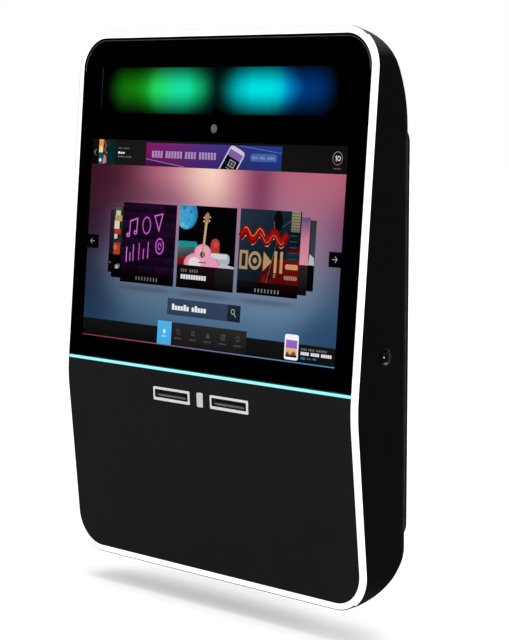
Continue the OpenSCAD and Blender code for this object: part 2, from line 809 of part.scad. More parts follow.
module note_cassette() color([0.2, 0.2, 0.22]) slots() translate([-slot_x, 0, validator_z0]) {
    difference() {
        block([-cassette_x, cassette_y0, -2 - cassette_h], [cassette_x, cassette_y1, -2]);
        block([-cassette_x + 2, cassette_y0 + 2, -cassette_h], [cassette_x - 2, cassette_y1 - 2, -4]);
        block([-slit_x, 60, -6], [slit_x, 66, 0]);
    }
    both_sides() block([cassette_x - over, cassette_y0, -rail_drop + 2.3],
        [validator_x - 2.3, cassette_y1, -rail_drop + 4.3]);
}

reader_x = 36;
reader_z0 = -24;
reader_z1 = 20;
reader_y1 = 72;
card_stop_y = 28;

module card_reader() color([0.13, 0.13, 0.14]) slots() {
    entry(slot_x, body_y + over);
    difference() {
        block([slot_x - reader_x - 2, body_y, reader_z0], [slot_x + reader_x + 2, reader_y1, reader_z1]);
        block([slot_x - slit_x, body_y - over, slit_z0], [slot_x + slit_x, card_stop_y, slit_z0 + slit_h]);
    }
}

module lock_body() color([0.25, 0.25, 0.26]) at_lock() difference() {
    union() {
        translate([0, 0, -lock_rim_t]) cylinder(h = lock_rim_t, r = lock_rim_r);
        cylinder(h = cup_len, r = cup_r);
        cylinder(h = barrel_len, r = barrel_r);
    }
    translate([0, 0, -over]) cylinder(h = cup_d + over, r = cup_in_r);
    translate([0, 0, -over]) cylinder(h = barrel_len + 2*over, r = plug_r + running);
}

nut_t = 5;

module lock_nut() color([0.6, 0.6, 0.62]) at_lock() translate([0, 0, wall_t]) difference() {
    cylinder(h = nut_t, r = cup_r + 4, $fn = 6);
    translate([0, 0, -over]) cylinder(h = nut_t + 2*over, r = cup_r + running);
}

key_post_r = 2.4;
key_ring_r = 3.6;
key_d = 5;
cam_screw_r = 2;
cam_screw_len = 10;

module lock_plug() color([0.4, 0.4, 0.42]) at_lock() difference() {
    union() {
        translate([0, 0, cup_d - 0.8]) cylinder(h = plug_len - cup_d + 0.8, r = plug_r);
        translate([-cam_square/2 + running, -cam_square/2 + running, plug_len - over])
            cube([cam_square - 2*running, cam_square - 2*running, cam_t + over]);
    }
    translate([0, 0, cup_d - 0.8 - over]) difference() {
        cylinder(h = key_d + over, r = key_ring_r);
        translate([0, 0, -over]) cylinder(h = key_d + 3*over, r = key_post_r);
    }
    translate([0, 0, plug_len + cam_t - cam_screw_len - over])
        cylinder(h = cam_screw_len + 2*over, r = cam_screw_r + running);
}

module lock_cam() color([0.6, 0.6, 0.62]) at_lock() translate([0, 0, plug_len]) difference() {
    union() {
        cylinder(h = cam_t, r = plug_r + 3);
        block([-cam_w/2, 0, 0], [cam_w/2, cam_len, cam_t]);
    }
    translate([-cam_square/2, -cam_square/2, -over]) cube([cam_square, cam_square, cam_t + 2*over]);
}

module cam_screw() color([0.7, 0.7, 0.72]) at_lock() translate([0, 0, plug_len + cam_t]) {
    translate([0, 0, -cam_screw_len]) cylinder(h = cam_screw_len, r = cam_screw_r);
    cylinder(h = 3, r = 6.2, $fn = 6);
}

leaf_y0 = hinge_y - 50;
leaf_y1 = hinge_y - 12;

module hinge_leaves() color([0.5, 0.5, 0.52]) for (z = hinge_zs) translate([0, 0, z]) {
    leaf_h = knuckle_h/2 + running*6 + leaf_knuckle_h;
    block([-case_w/2 + wall_t, leaf_y0, -leaf_h], [-case_w/2 + wall_t + leaf_t, leaf_y1, leaf_h]);
    for (m = [0, 1]) mirror([0, 0, m]) difference() {
        union() {
            translate([hinge_x, hinge_y, leaf_h - leaf_knuckle_h]) cylinder(h = leaf_knuckle_h, r = knuckle_r);
            prism_z([[-case_w/2 + wall_t + over, leaf_y1 - 18], [-case_w/2 + wall_t + over, leaf_y1],
                [hinge_x - 4, hinge_y + 4], [hinge_x + 4, hinge_y - 5]], leaf_h - leaf_knuckle_h, leaf_h);
        }
        translate([hinge_x, hinge_y, 0]) cylinder(h = leaf_h + over, r = pin_r + running);
    }
}

module hinge_arms() color([0.5, 0.5, 0.52]) for (z = hinge_zs) translate([0, 0, z]) difference() {
    union() {
        translate([hinge_x, hinge_y, -knuckle_h/2]) cylinder(h = knuckle_h, r = knuckle_r);
        block([hinge_x, hinge_y - arm_front, -knuckle_h/2],
            [hinge_x + arm_x + arm_t, hinge_y - arm_front + arm_t, knuckle_h/2]);
        block([hinge_x + arm_x, hinge_y - arm_front, -arm_h/2], [hinge_x + arm_x + arm_t, -sheet_t, arm_h/2]);
        block([hinge_x + 5, -sheet_t - arm_t, -arm_h/2], [hinge_x + arm_x + arm_t, -sheet_t, arm_h/2]);
    }
    translate([hinge_x, hinge_y, -knuckle_h]) cylinder(h = 2*knuckle_h, r = pin_r + running);
}

module hinge_pins() color([0.7, 0.7, 0.72]) for (z = hinge_zs) translate([hinge_x, hinge_y, z]) {
    leaf_h = knuckle_h/2 + running*6 + leaf_knuckle_h;
    translate([0, 0, -leaf_h - 2]) cylinder(h = 2*leaf_h + 2 + fit, r = pin_r);
    translate([0, 0, leaf_h + fit]) cylinder(h = 2.5, r = pin_r + 1.6);
}

hug = 12;

module wall_tray() color([0.09, 0.09, 0.09]) {
    difference() {
        prism_y(round_rect([-tray_w/2, -tray_h/2], [tray_w/2, tray_h/2], tray_r), y_back - hug, 0);
        prism_y(round_rect([-tray_w/2 + sheet_t, -tray_h/2 + sheet_t], [tray_w/2 - sheet_t, tray_h/2 - sheet_t],
            tray_r - sheet_t), y_back - hug - over, -sheet_t);
        housing_form(-over);
        translate([hinge_x, hinge_y, -tray_h]) cylinder(h = 2*tray_h, r = back_edge_r + over);
        for (i = [-0.5, 0.5]) for (k = [-0.5, 0.5])
            rod_y(i*wall_pitch_x, k*wall_pitch_z, wall_hole_r, -sheet_t - over, over);
        rod_y(0, cable_z, cable_r + 7, -sheet_t - over, over);
    }
    for (z = stud_zs) both_sides() difference() {
        rod_y(stud_x, z, stud_r, -sheet_t - stud_h, -sheet_t);
        rod_y(stud_x, z, ear_screw_r + running, -sheet_t - stud_h - over, -sheet_t - over);
    }
}

module chassis_plate() color([0.7, 0.71, 0.73]) difference() {
    prism_y(round_rect([-plate_x, plate_z0], [plate_x, plate_z1], plate_r), plate_y, plate_y + sheet_t);
    for (z = stud_zs) both_sides()
        rod_y(stud_x, z, ear_screw_r + running, plate_y - over, plate_y + sheet_t + over);
}

module chassis_screws() color([0.6, 0.6, 0.62]) for (z = stud_zs) both_sides() {
    rod_y(stud_x, z, screw_head_r + 1, plate_y - screw_head_t, plate_y);
    rod_y(stud_x, z, ear_screw_r, plate_y, plate_y + 10);
}

case_vents = 8;
vent_margin = 24;
port_margin = 10;
port_w = 60;

module computer_case() color([0.75, 0.76, 0.78]) {
    difference() {
        block([pc_x0, pc_y, pc_z0], [pc_x1, plate_y, pc_z1]);
        block([pc_x0 + pc_wall, pc_y - over, pc_z0 + pc_wall],
            [pc_x1 - pc_wall, plate_y - pc_wall, pc_z1 - pc_wall]);
        for (i = [0:case_vents - 1]) let (x = pc_x0 + vent_margin + i*(pc_w - 2*vent_margin)/case_vents)
            block([x, pc_y + 12, pc_z1 - 2*pc_wall], [x + 10, plate_y - 10, pc_z1 + over]);
        block([pc_x1 - port_margin - port_w, plate_y - 26, pc_z0 - over],
            [pc_x1 - port_margin, plate_y - board_margin, pc_z0 + 2*pc_wall]);
    }
    for (x = [board_x0 + post_inset, board_x0 + board_w - post_inset])
        for (z = [board_z0 + post_inset, board_z1 - post_inset])
            rod_y(x, z, post_r, board_y, plate_y - pc_wall/2);
}

vent_n = 9;
vent_pitch = 6;

module computer_lid() color([0.72, 0.73, 0.75]) difference() {
    union() {
        block([pc_x0, pc_y - pc_wall, pc_z0], [pc_x1, pc_y, pc_z1]);
        difference() {
            block([pc_x0 + pc_wall + fit, pc_y - over/2, pc_z0 + pc_wall + fit],
                [pc_x1 - pc_wall - fit, pc_y + 5, pc_z1 - pc_wall - fit]);
            block([pc_x0 + 2*pc_wall + fit, pc_y - over, pc_z0 + 2*pc_wall + fit],
                [pc_x1 - 2*pc_wall - fit, pc_y + 6, pc_z1 - 2*pc_wall - fit]);
        }
    }
    for (i = [0:vent_n - 1]) let (z = fan_z + (i - (vent_n - 1)/2)*vent_pitch, half = sqrt(pow(fan_r, 2)
        - pow(z - fan_z, 2)))
        block([fan_x - half, pc_y - 2*pc_wall, z - 1.5], [fan_x + half, pc_y + over, z + 1.5]);
}

module computer_board() color([0.05, 0.3, 0.12]) translate([board_x0, board_y - board_t, board_z0]) {
    block([0, 0, 0], [board_w, board_t, board_h]);
    block([board_w - 48, -28, 17], [board_w - 42, 0, board_h - 13]);
    block([board_w - 34, -14, 7], [board_w - 6, 0, board_h - 23]);
    block([8, -8, 4], [32, 0, 28]);
}

fin_n = 11;
fin_t = 1.5;
base_t = 5;

module cpu_heatsink() color([0.75, 0.75, 0.77]) translate([fan_x - sink_w/2, 0, fan_z - sink_w/2]) {
    block([0, board_y - board_t - base_t, 0], [sink_w, board_y - board_t, sink_w]);
    for (i = [0:fin_n - 1]) translate([i*(sink_w - fin_t)/(fin_n - 1), 0, 0])
        block([0, sink_top, 0], [fin_t, board_y - board_t - base_t + over, sink_w]);
}

module computer_fan_frame() color([0.12, 0.12, 0.12]) difference() {
    union() {
        difference() {
            block([fan_x - sink_w/2, sink_top - fan_t, fan_z - sink_w/2], [fan_x + sink_w/2, sink_top, fan_z + sink_w/2]);
            rod_y(fan_x, fan_z, fan_r + 1, sink_top - fan_t - over, sink_top + over);
        }
        rod_y(fan_x, fan_z, 10, sink_top - 2, sink_top);
        for (a = [0, 120, 240]) translate([fan_x, sink_top, fan_z]) rotate([0, a, 0])
            block([5, -2, -2], [fan_r + 1.5, 0, 2]);
    }
    rod_y(fan_x, fan_z, 1.5 + running, sink_top - fan_t, sink_top + over);
}

module computer_fan_rotor() color([0.15, 0.15, 0.16]) translate([fan_x, sink_top - 2.5, fan_z]) {
    rod_y(0, 0, 10, -11, 0);
    rod_y(0, 0, 1.5, -over, 2.3);
    for (i = [0:fan_blades - 1]) rotate([0, 360*i/fan_blades, 0]) translate([9, -5.5, 0]) rotate([38, 0, 0])
        block([0, -5.5, -0.6], [fan_r - 9.6, 5.5, 0.6]);
}

module storage_drive() color([0.55, 0.56, 0.58]) translate([pc_x0 + 10, plate_y - pc_wall - drive_t, pc_z0 + 10])
    block([0, 0, 0], [drive_w, drive_t, drive_h]);

slot_n = 10;
slot_t = 5;

module power_supply() color([0.7, 0.71, 0.72]) difference() {
    union() {
        block([supply_x0, plate_y - supply_d, supply_z0], [supply_x1, plate_y, supply_z1]);
        block([supply_x0 + 10, plate_y - supply_d/2, supply_z0 - 12], [supply_x1 - 40, plate_y, supply_z0 + over]);
    }
    for (i = [0:slot_n - 1]) let (z = supply_z0 + 16 + i*(supply_h - 25)/slot_n)
        block([supply_x0 + 15, plate_y - supply_d - over, z], [supply_x1 - 15, plate_y - supply_d + 2, z + slot_t]);
}

inlet_depth = 22;
inlet_edge = 16;
inlet_half = 12;
rocker_edge = 14;
inlet_lip = 6;
inlet_lip_t = 2.5;
socket_w = 24;
socket_h = 16;
socket_d = 15;
rocker_w = 20;
rocker_h = 12;
rocker_pin_r = 1.5;
rocker_axis_z = 4;

bracket_x0 = inlet_x - 32;
bracket_x1 = rocker_x + 32;
bracket_h = 46;

module power_bracket() color([0.6, 0.61, 0.63]) difference() {
    union() {
        block([bracket_x0, plate_y - 50, inlet_z], [bracket_x1, plate_y, inlet_z + sheet_t]);
        block([bracket_x0, plate_y - sheet_t, inlet_z], [bracket_x1, plate_y, inlet_z + bracket_h]);
    }
    block([inlet_x - inlet_edge, inlet_y - inlet_half, inlet_z - over],
        [rocker_x + rocker_edge, inlet_y + inlet_half, inlet_z + 2*sheet_t]);
}

// Mains inlet and switch body in one moulding, open downwards
module power_inlet() color([0.07, 0.07, 0.07]) translate([0, inlet_y, inlet_z]) {
    difference() {
        union() {
            block([inlet_x - inlet_edge - inlet_lip, -inlet_half - 3, -inlet_lip_t],
                [rocker_x + rocker_edge + inlet_lip, inlet_half + 3, 0]);
            block([inlet_x - inlet_edge + fit, -inlet_half + fit, -over],
                [rocker_x + rocker_edge - fit, inlet_half - fit, inlet_depth]);
        }
        block([inlet_x - socket_w/2, -socket_h/2, -4], [inlet_x + socket_w/2, socket_h/2, socket_d - 2.5]);
        block([rocker_x - rocker_w/2 - 1.6, -rocker_h/2 - 0.3, -4],
                [rocker_x + rocker_w/2 + 1.6, rocker_h/2 + 0.3, 17]);
        rod_y(rocker_x, rocker_axis_z, rocker_pin_r + running, -rocker_h/2 - 3, rocker_h/2 + 3);
    }
    for (i = [-7, 0, 7]) block([inlet_x + i - 1, -2.3, -over], [inlet_x + i + 1, 2.3, socket_d]);
}

module power_rocker() color([0.55, 0.05, 0.05]) translate([rocker_x, inlet_y, inlet_z + rocker_axis_z])
    rotate([0, -rocker_swing/2, 0]) {
        block([-rocker_w/2, -rocker_h/2, -7.5], [rocker_w/2, rocker_h/2, 1]);
        rod_y(0, 0, rocker_pin_r, -rocker_h/2 - 2.6, rocker_h/2 + 2.6);
        block([-2, -rocker_h/2, 0], [2, rocker_h/2, 8]);
    }

cap_r = 9;
cap_h = 28;

module amplifier_board() color([0.06, 0.12, 0.35]) {
    block([amp_x0, amp_y - board_t, amp_z0], [amp_x1, amp_y, amp_z1]);
    for (x = [amp_x0 + post_inset, amp_x1 - post_inset]) for (z = [amp_z0 + post_inset, amp_z1 - post_inset])
        rod_y(x, z, post_r, amp_y - over, plate_y);
    for (i = [0:2]) rod_y(amp_x0 + 24 + 26*i, amp_z0 + 30, cap_r, amp_y - board_t - cap_h, amp_y);
    block([amp_x1 - 56, amp_y - board_t - 22, amp_z0 + 16], [amp_x1 - 16, amp_y - board_t, amp_z0 + 50]);
    for (z = [amp_z1 - 110, amp_z1 - 60]) block([amp_x0 + 30, amp_sink_y, z], [amp_x1 - 30, amp_y, z + 16]);
}

amp_sink_h = 120;
amp_fin_n = 14;
amp_fin_h = 24;
amp_fin_t = 2;

module amplifier_heatsink() color([0.16, 0.16, 0.17]) translate([0, amp_sink_y - base_t + over, amp_z1 - amp_sink_h]) {
    block([amp_x0 + 8, 0, 0], [amp_x1 - 8, base_t - over, amp_sink_h]);
    for (i = [0:amp_fin_n - 1]) translate([amp_x0 + 8 + i*(amp_w - 16 - amp_fin_t)/(amp_fin_n - 1), 0, 0])
        block([0, -amp_fin_h, 0], [amp_fin_t, over, amp_sink_h]);
}

terminal_n = 4;

module speaker_terminals() color([0.1, 0.1, 0.1]) translate([terminals_x0, plate_y, terminals_z1 - terminals_h]) {
    block([0, -terminals_d, 0], [terminals_w, 0, terminals_h]);
    for (i = [0:terminal_n - 1]) for (y = [-0.29, -0.71])
        translate([(i + 0.5)*terminals_w/terminal_n, y*terminals_d, -12]) cylinder(h = 13, r = 4);
}

board_back = service_y + 12;

module service_panel() color([0.65, 0.66, 0.68]) difference() {
    union() {
        difference() {
            block([service_x0, service_y, service_z0], [service_x1, plate_y, service_z1]);
            block([service_x0 + sheet_t, service_y + sheet_t, service_z0 - over],
                [service_x1 - sheet_t, plate_y + over, service_z1 + over]);
        }
        block([service_x0 + over, board_back, service_z0 + 10], [service_x1 - over, board_back + 2, service_z1 - 10]);
    }
    for (x = button_xs) {
        rod_y(x, button_z, button_r + running, service_y - over, service_y + sheet_t + over);
        rod_y(x, button_z, 2 + running, board_back - over, board_back + 2 + over);
    }
}

module button(x) {
    rod_y(x, button_z, button_r, service_y - 5, service_y + 4);
    rod_y(x, button_z, button_r + 2, service_y + sheet_t + 0.3, service_y + 4);
    rod_y(x, button_z, 2, service_y + 3, board_back + 6);
}

module volume_up_button() color([0.1, 0.5, 0.2]) button(button_xs[1]);
module volume_down_button() color([0.7, 0.1, 0.1]) button(button_xs[0]);

keeper_y = lock_y - cam_w/2 - over - keeper_t;
keeper_z = lock_z + cam_len - keeper_h + 6;

module lock_keeper() color([0.6, 0.6, 0.62]) {
    block([keeper_x0, keeper_y, keeper_z], [keeper_x1, keeper_y + keeper_t, keeper_z + keeper_h]);
    block([keeper_x0, keeper_y, keeper_z], [keeper_x0 + keeper_t, -sheet_t, keeper_z + keeper_h]);
    block([keeper_x0, -sheet_t - keeper_t, keeper_z], [keeper_x1, -sheet_t, keeper_z + keeper_h]);
}

module cable_grommet() color([0.08, 0.08, 0.08]) difference() {
    union() {
        rod_y(0, cable_z, cable_r + 7 - running, -sheet_t - over, 0);
        rod_y(0, cable_z, cable_r + 11, -sheet_t - 3, -sheet_t);
    }
    rod_y(0, cable_z, cable_r, -sheet_t - 4, over);
}

module network_module() color([0.3, 0.31, 0.33]) translate([net_x0, plate_y, net_z0]) difference() {
    block([0, -net_d, 0], [net_w, 0, net_h]);
    block([10, -20, -2], [22, -9, 14]);
    block([34, -17, -2], [47, -12, 12]);
}

housing_shell();
light_frame();
light_frame_carrier();
light_frame_leds();
front_screws();
front_glass();
glass_mask();
display_panel();
display_chassis();
display_rails();
display_driver_board();
light_bar_diffuser();
light_bar_housing();
light_bar_board();
camera_lens();
camera_module();
waist_crossbar();
waist_light();
waist_light_board();
lower_panel();
note_bezel();
card_bezel();
status_lens();
note_validator();
note_drive_roller();
note_pinch_roller();
cassette_rails();
note_cassette();
card_reader();
lock_body();
lock_nut();
lock_plug();
lock_cam();
cam_screw();
hinge_leaves();
wall_tray();
hinge_arms();
hinge_pins();
chassis_plate();
chassis_screws();
computer_case();
computer_lid();
computer_board();
cpu_heatsink();
computer_fan_frame();
computer_fan_rotor();
storage_drive();
power_supply();
power_bracket();
power_inlet();
power_rocker();
amplifier_board();
amplifier_heatsink();
speaker_terminals();
service_panel();
volume_up_button();
volume_down_button();
lock_keeper();
cable_grommet();
network_module();
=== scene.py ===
"""Looks of the wall-hung digital jukebox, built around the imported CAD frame."""

from math import asin, atan2, cos, degrees, exp, hypot, pi, radians, sin, sqrt, tan

import bmesh
import bpy
import numpy as np
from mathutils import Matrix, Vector


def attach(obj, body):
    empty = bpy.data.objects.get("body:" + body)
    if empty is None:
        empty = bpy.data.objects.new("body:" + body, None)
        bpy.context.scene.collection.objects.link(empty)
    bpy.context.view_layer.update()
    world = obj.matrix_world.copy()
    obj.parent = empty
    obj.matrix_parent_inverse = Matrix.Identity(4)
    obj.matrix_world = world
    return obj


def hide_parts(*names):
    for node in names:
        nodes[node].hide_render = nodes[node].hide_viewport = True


MM = 0.001
DOOR = "front_housing"
KEY = "lock_key_parts"

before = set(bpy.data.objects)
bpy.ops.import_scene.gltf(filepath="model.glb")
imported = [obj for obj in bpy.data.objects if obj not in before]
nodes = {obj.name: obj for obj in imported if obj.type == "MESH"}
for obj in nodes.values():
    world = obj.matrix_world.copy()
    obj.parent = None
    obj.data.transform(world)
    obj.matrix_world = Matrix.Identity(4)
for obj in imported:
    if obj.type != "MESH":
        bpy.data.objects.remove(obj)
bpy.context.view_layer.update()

# Sizes of the CAD model, in millimetres
HALF_W = 347.0
Z_TOP, Z_WAIST, Z_BOTTOM = 473.9, -109.3, -424.5
Y_WAIST, Y_BACK = -143.0, -18.0
CORNER_R = 66.0
TILT_UP, TILT_DOWN = radians(4.8), radians(5.2)
WAIST_R = 300.0
BAND_W, BAND_T = 11.75, 4.4
GLASS_N = 0.4
WALL_T = 3.0
SIDE_R = 20.0
SHELL_ANGLE = 32
# Rounding of the shell's long edges, and how much its profile is crowned to make up for it
SOFT_FRONT, SOFT_BACK = 14.0, 6.0
CROWN_TOP, CROWN_LOW = 6.3, 7.5
# Depth, height and power of the curves that take the shell's top and bottom to its back
TOP_D, TOP_H, TOP_P = 92.0, 252.0, 2.0
LOW_D, LOW_H, LOW_P = 110.0, 114.4, 1.4
# Height and middle of the light bar, and middle of the waist light, along the screen face
BAR_H, BAR_S = 75.8, 486.4
WAIST_S = 27.85
SLOT_X, SLOT_Y, SLOT_Z = 68.8, -141.478, -123.3
SLOT_TILT = radians(2.87577)
LOCK_Y, LOCK_Z, LOCK_HOLE_R = -77.8, -25.4, 13.05
# Half width and half height of the wall tray's room, its corners and its depth into the shell
TRAY_X, TRAY_Z, TRAY_R, TRAY_HUG = 324.9, 327.9, 30.4, 12.4

# Centre of the bend at the waist
BEND_Z = WAIST_R * (cos(TILT_UP) - cos(TILT_DOWN)) / sin(TILT_UP + TILT_DOWN)
BEND_Y = (WAIST_R + BEND_Z * sin(TILT_UP)) / cos(TILT_UP)


def face_y(z, n):
    """Y of the face at height z, at depth n behind the light frame's face."""
    h = z - Z_WAIST
    r = WAIST_R - n
    if h > BEND_Z + r * sin(TILT_UP):
        return Y_WAIST + n / cos(TILT_UP) + h * tan(TILT_UP)
    if h < BEND_Z - r * sin(TILT_DOWN):
        return Y_WAIST + n / cos(TILT_DOWN) - h * tan(TILT_DOWN)
    return Y_WAIST + BEND_Y - sqrt(r * r - (h - BEND_Z) ** 2)


def on_face(x, z, n):
    """A point of the face, which lies n behind its surface."""
    return (x, face_y(z, n), z)


def upper(x, s, n):
    """A point of the screen face: x across, s up along it, n behind its surface."""
    c, d = cos(TILT_UP), sin(TILT_UP)
    return (x, Y_WAIST + n * c + s * d, Z_WAIST + s * c - n * d)


def in_slot(x, y, z):
    """A point in the slots' frame."""
    c, d = cos(SLOT_TILT), sin(SLOT_TILT)
    return (x, SLOT_Y + y * c - z * d, SLOT_Z + y * d + z * c)


def at_lock(x, y, z):
    """A point in the lock's frame: z inwards from the side wall, y back, x up."""
    return (HALF_W - z, LOCK_Y + y, LOCK_Z + x)


def arc(cx, cz, rx, rz, n=24, a0=0, a1=360):
    """The n + 1 points of an arc between two angles in degrees."""
    turns = [radians(a0 + (a1 - a0) * i / n) for i in range(n + 1)]
    return [(cx + rx * cos(a), cz + rz * sin(a)) for a in turns]


def clamp(v):
    """A value held between 0 and 1."""
    return max(0, min(1, v))


def srgb(color):
    """Linear colour from screen values of 0 to 255. One value alone is a grey."""
    values = [v / 255 for v in (color if isinstance(color, tuple) else (color,) * 3)]
    return (*(v / 12.92 if v <= 0.04045 else ((v + 0.055) / 1.055) ** 2.4 for v in values), 1)


def scaled(color, f):
    """A linear colour made darker or paler."""
    return (*(clamp(c * f) for c in color[:3]), 1)


# Materials, kept here by the names they are made with

M = {}


class Shader:
    """A small builder of node trees."""

    def __init__(self, name, home=bpy.data.materials, out="OutputMaterial"):
        self.data = M[name] = home.new(name)
        self.data.use_nodes = True
        self.tree = self.data.node_tree
        self.tree.nodes.clear()
        self.out = self.node(out)
        self.coord = None

    def fill(self, socket, value):
        """Links another node's socket, or sets a constant."""
        if isinstance(value, bpy.types.NodeSocket):
            self.tree.links.new(value, socket)
        else:
            socket.default_value = value

    def node(self, kind, **values):
        """A node with its sockets and settings, given by name with underscores for spaces."""
        n = self.tree.nodes.new("ShaderNode" + kind)
        for key, value in values.items():
            label = key.replace("_", " ")
            if label in n.inputs:
                self.fill(n.inputs[label], value)
            else:
                setattr(n, key, value)
        return n

    def position(self):
        if self.coord is None:
            self.coord = self.node("TexCoord")
        return self.coord.outputs["Object"]

    def noise(self, scale, detail=3, stretch=None):
        at = self.position()
        if stretch:
            at = self.node("Mapping", Scale=stretch, Vector=at).outputs["Vector"]
        return self.node("TexNoise", Scale=scale, Detail=detail, Vector=at).outputs["Fac"]

    def range(self, value, lo=0, hi=1, a=0.3, b=0.7):
        """Brings values between a and b to values between lo and hi."""
        n = self.node("MapRange", Value=value, From_Min=a, From_Max=b, To_Min=lo, To_Max=hi)
        return n.outputs["Result"]

    def uneven(self, scale, detail=3, lo=0, hi=1, a=0.3, b=0.7):
        return self.range(self.noise(scale, detail), lo, hi, a, b)

    def mix(self, fac, a, b):
        n = self.node("Mix", data_type="RGBA")
        for value, socket in ((fac, n.inputs[0]), (a, n.inputs[6]), (b, n.inputs[7])):
            self.fill(socket, value)
        return n.outputs[2]

    def math(self, operation, *values):
        n = self.join("Math", *values)
        n.operation = operation
        return n.outputs[0]

    def join(self, kind, *values):
        """A node whose sockets are filled in their order."""
        n = self.node(kind)
        for socket, value in zip(n.inputs, values):
            self.fill(socket, value)
        return n

    def bump(self, height, strength, distance):
        return self.node("Bump", Strength=strength, Distance=distance, Height=height).outputs["Normal"]

    def seen(self):
        """One for rays of the camera, of gloss and of see-through parts."""
        rays = self.node("LightPath").outputs
        direct = self.math("MAXIMUM", rays["Is Camera Ray"], rays["Is Glossy Ray"])
        return self.math("MAXIMUM", direct, rays["Is Transmission Ray"])

    def done(self, shader):
        self.fill(self.out.inputs[0], shader.outputs[0])


def surface(name, color, rough=0.5, metal=0, spec=0.5, shift=0.25, grain=900, depth=0.00004,
            blotch=14, wear=None, stretch=None, painted_top_highlight=None):
    """A finish with fine grain, uneven roughness and colour, worn edges, and a painted highlight: a paler
    colour on faces that look up.
    """
    s = Shader(name)
    color = srgb(color)
    base = s.mix(s.uneven(blotch, 4), scaled(color, 1 - shift), scaled(color, 1 + shift))
    if wear:
        edge = s.range(s.node("NewGeometry").outputs["Pointiness"], a=0.53, b=0.6)
        base = s.mix(s.math("MULTIPLY", edge, s.uneven(blotch * 12, 5, a=0.42, b=0.62)), base, srgb(wear))
    # Painted highlight: faces that look up get a paler colour, standing in for the light that falls on the
    # top
    if painted_top_highlight:
        height = s.node("SeparateXYZ", Vector=s.node("NewGeometry").outputs["Normal"]).outputs["Z"]
        base = s.mix(s.range(height, a=0.3, b=0.98), base, srgb(painted_top_highlight))
    low, high = max(0.02, rough * 0.82), min(1, rough * 1.18)
    s.done(s.node(
        "BsdfPrincipled", Metallic=metal, Specular_IOR_Level=spec, Base_Color=base,
        Roughness=s.uneven(blotch * 3, 5, low, high),
        Normal=s.bump(s.noise(grain, 2, stretch), 0.6, depth)))


def glow(name, color, strength, body, mottle=0.03):
    """A lit plastic: a body that sends out its own light. Colours are linear."""
    s = Shader(name)
    s.done(s.node(
        "BsdfPrincipled", Emission_Strength=strength, Specular_IOR_Level=0.3,
        Base_Color=s.mix(s.uneven(30), body, scaled(body, 0.94)),
        Emission_Color=s.mix(s.uneven(9), color, scaled(color, 1 - mottle)),
        Roughness=s.uneven(60, lo=0.34, hi=0.46), Normal=s.bump(s.noise(700), 0.3, 0.00002)))


def board(name, color, copper):
    """A printed board: solder mask with faint tracks and pads."""
    s = Shader(name)
    color = srgb(color)
    at = s.position()
    cells = s.node("TexVoronoi", Scale=160, feature="DISTANCE_TO_EDGE", Vector=at).outputs["Distance"]
    track = s.range(s.node("TexWave", Scale=90, Distortion=6, Vector=at).outputs["Fac"], a=0.82, b=0.9)
    dots = s.range(s.node("TexVoronoi", Scale=260, Vector=at).outputs["Distance"], 1, 0, 0.12, 0.2)
    pads = s.math("MULTIPLY", dots, s.uneven(24, a=0.5, b=0.58))
    pale = (*(min(1, c * 1.7 + 0.01) for c in color[:3]), 1)
    s.done(s.node(
        "BsdfPrincipled", Specular_IOR_Level=0.5,
        Base_Color=s.mix(pads, s.mix(track, color, pale), srgb(copper)),
        Roughness=s.range(cells, 0.3, 0.45, 0, 0.3), Normal=s.bump(track, 0.5, 0.00008)))


def clear(name, color, alpha, rough):
    """Dark glass: mostly see-through, with a faint film on its surface."""
    s = Shader(name)
    color = srgb(color)
    s.done(s.node(
        "BsdfPrincipled", Alpha=alpha, Specular_IOR_Level=0,
        Base_Color=s.mix(s.uneven(12), color, scaled(color, 0.6)),
        Roughness=s.uneven(40, 6, rough * 0.6, rough * 1.4)))


def lit_layer(name):
    """A lit layer whose colour comes from its corners, with the fine unevenness of a display."""
    s = Shader(name)
    tint = s.node("VertexColor", layer_name="tint").outputs["Color"]
    color = s.mix(s.uneven(900, 1, 0, 0.04), tint, (0, 0, 0, 1))
    s.done(s.node("Emission", Strength=1, Color=color))


WHITE = (1, 1, 1, 1)
# The shell's faces that look up are painted paler: a painted highlight on its top and shoulders
surface("shell_plastic", 5, spec=0.01, grain=1500, depth=0.00005, shift=0.1, painted_top_highlight=70)
surface("panel_plastic", 26, 0.48, spec=0.008, grain=1500, depth=0.00006, shift=0.04)
surface("tray_coat", 8, spec=0.02, grain=1100, depth=0.00008)
surface("carrier_plastic", (70, 71, 73), 0.55, spec=0.3)
surface("black_plastic", (26, 26, 27), 0.45, spec=0.3)
surface("module_plastic", (30, 30, 31), spec=0.2)
surface("mask_ink", 1, 0.7, spec=0, shift=0.1)
clear("front_glass_tint", (2, 2, 3), 0.04, 0.05)
# Grey colour of the glass bevel along the top: a painted highlight where the edge catches light
surface("glass_edge", (78, 79, 81), 0.35, spec=0.4, shift=0.5, blotch=60)
glow("band_light", WHITE, 0.34, scaled(WHITE, 0.92), 0.005)
# A dark grey, hardly lit body for the light band's outer side: painted shade along its edge
glow("band_side", WHITE, 0.02, scaled(WHITE, 0.07), 0.02)
glow("waist_cyan", srgb((150, 246, 248)), 1, srgb((40, 60, 60)))
surface("bezel_silver", (213, 213, 214), 0.4, shift=0.08, blotch=220)
surface("throat_plastic", 15, spec=0.04)
surface("guide_lip", (84, 84, 86), 0.45, spec=0.3)
surface("status_lens", 196, 0.35, spec=0.4, shift=0.04)
surface("lock_chrome", (235, 235, 236), 0.3, 1, shift=0.05, depth=0.00002)
surface("lock_rim", 8, 0.4, spec=0.03, shift=0.1)
surface("lock_wall", (47, 47, 48), 0.4, 1, shift=0.1)
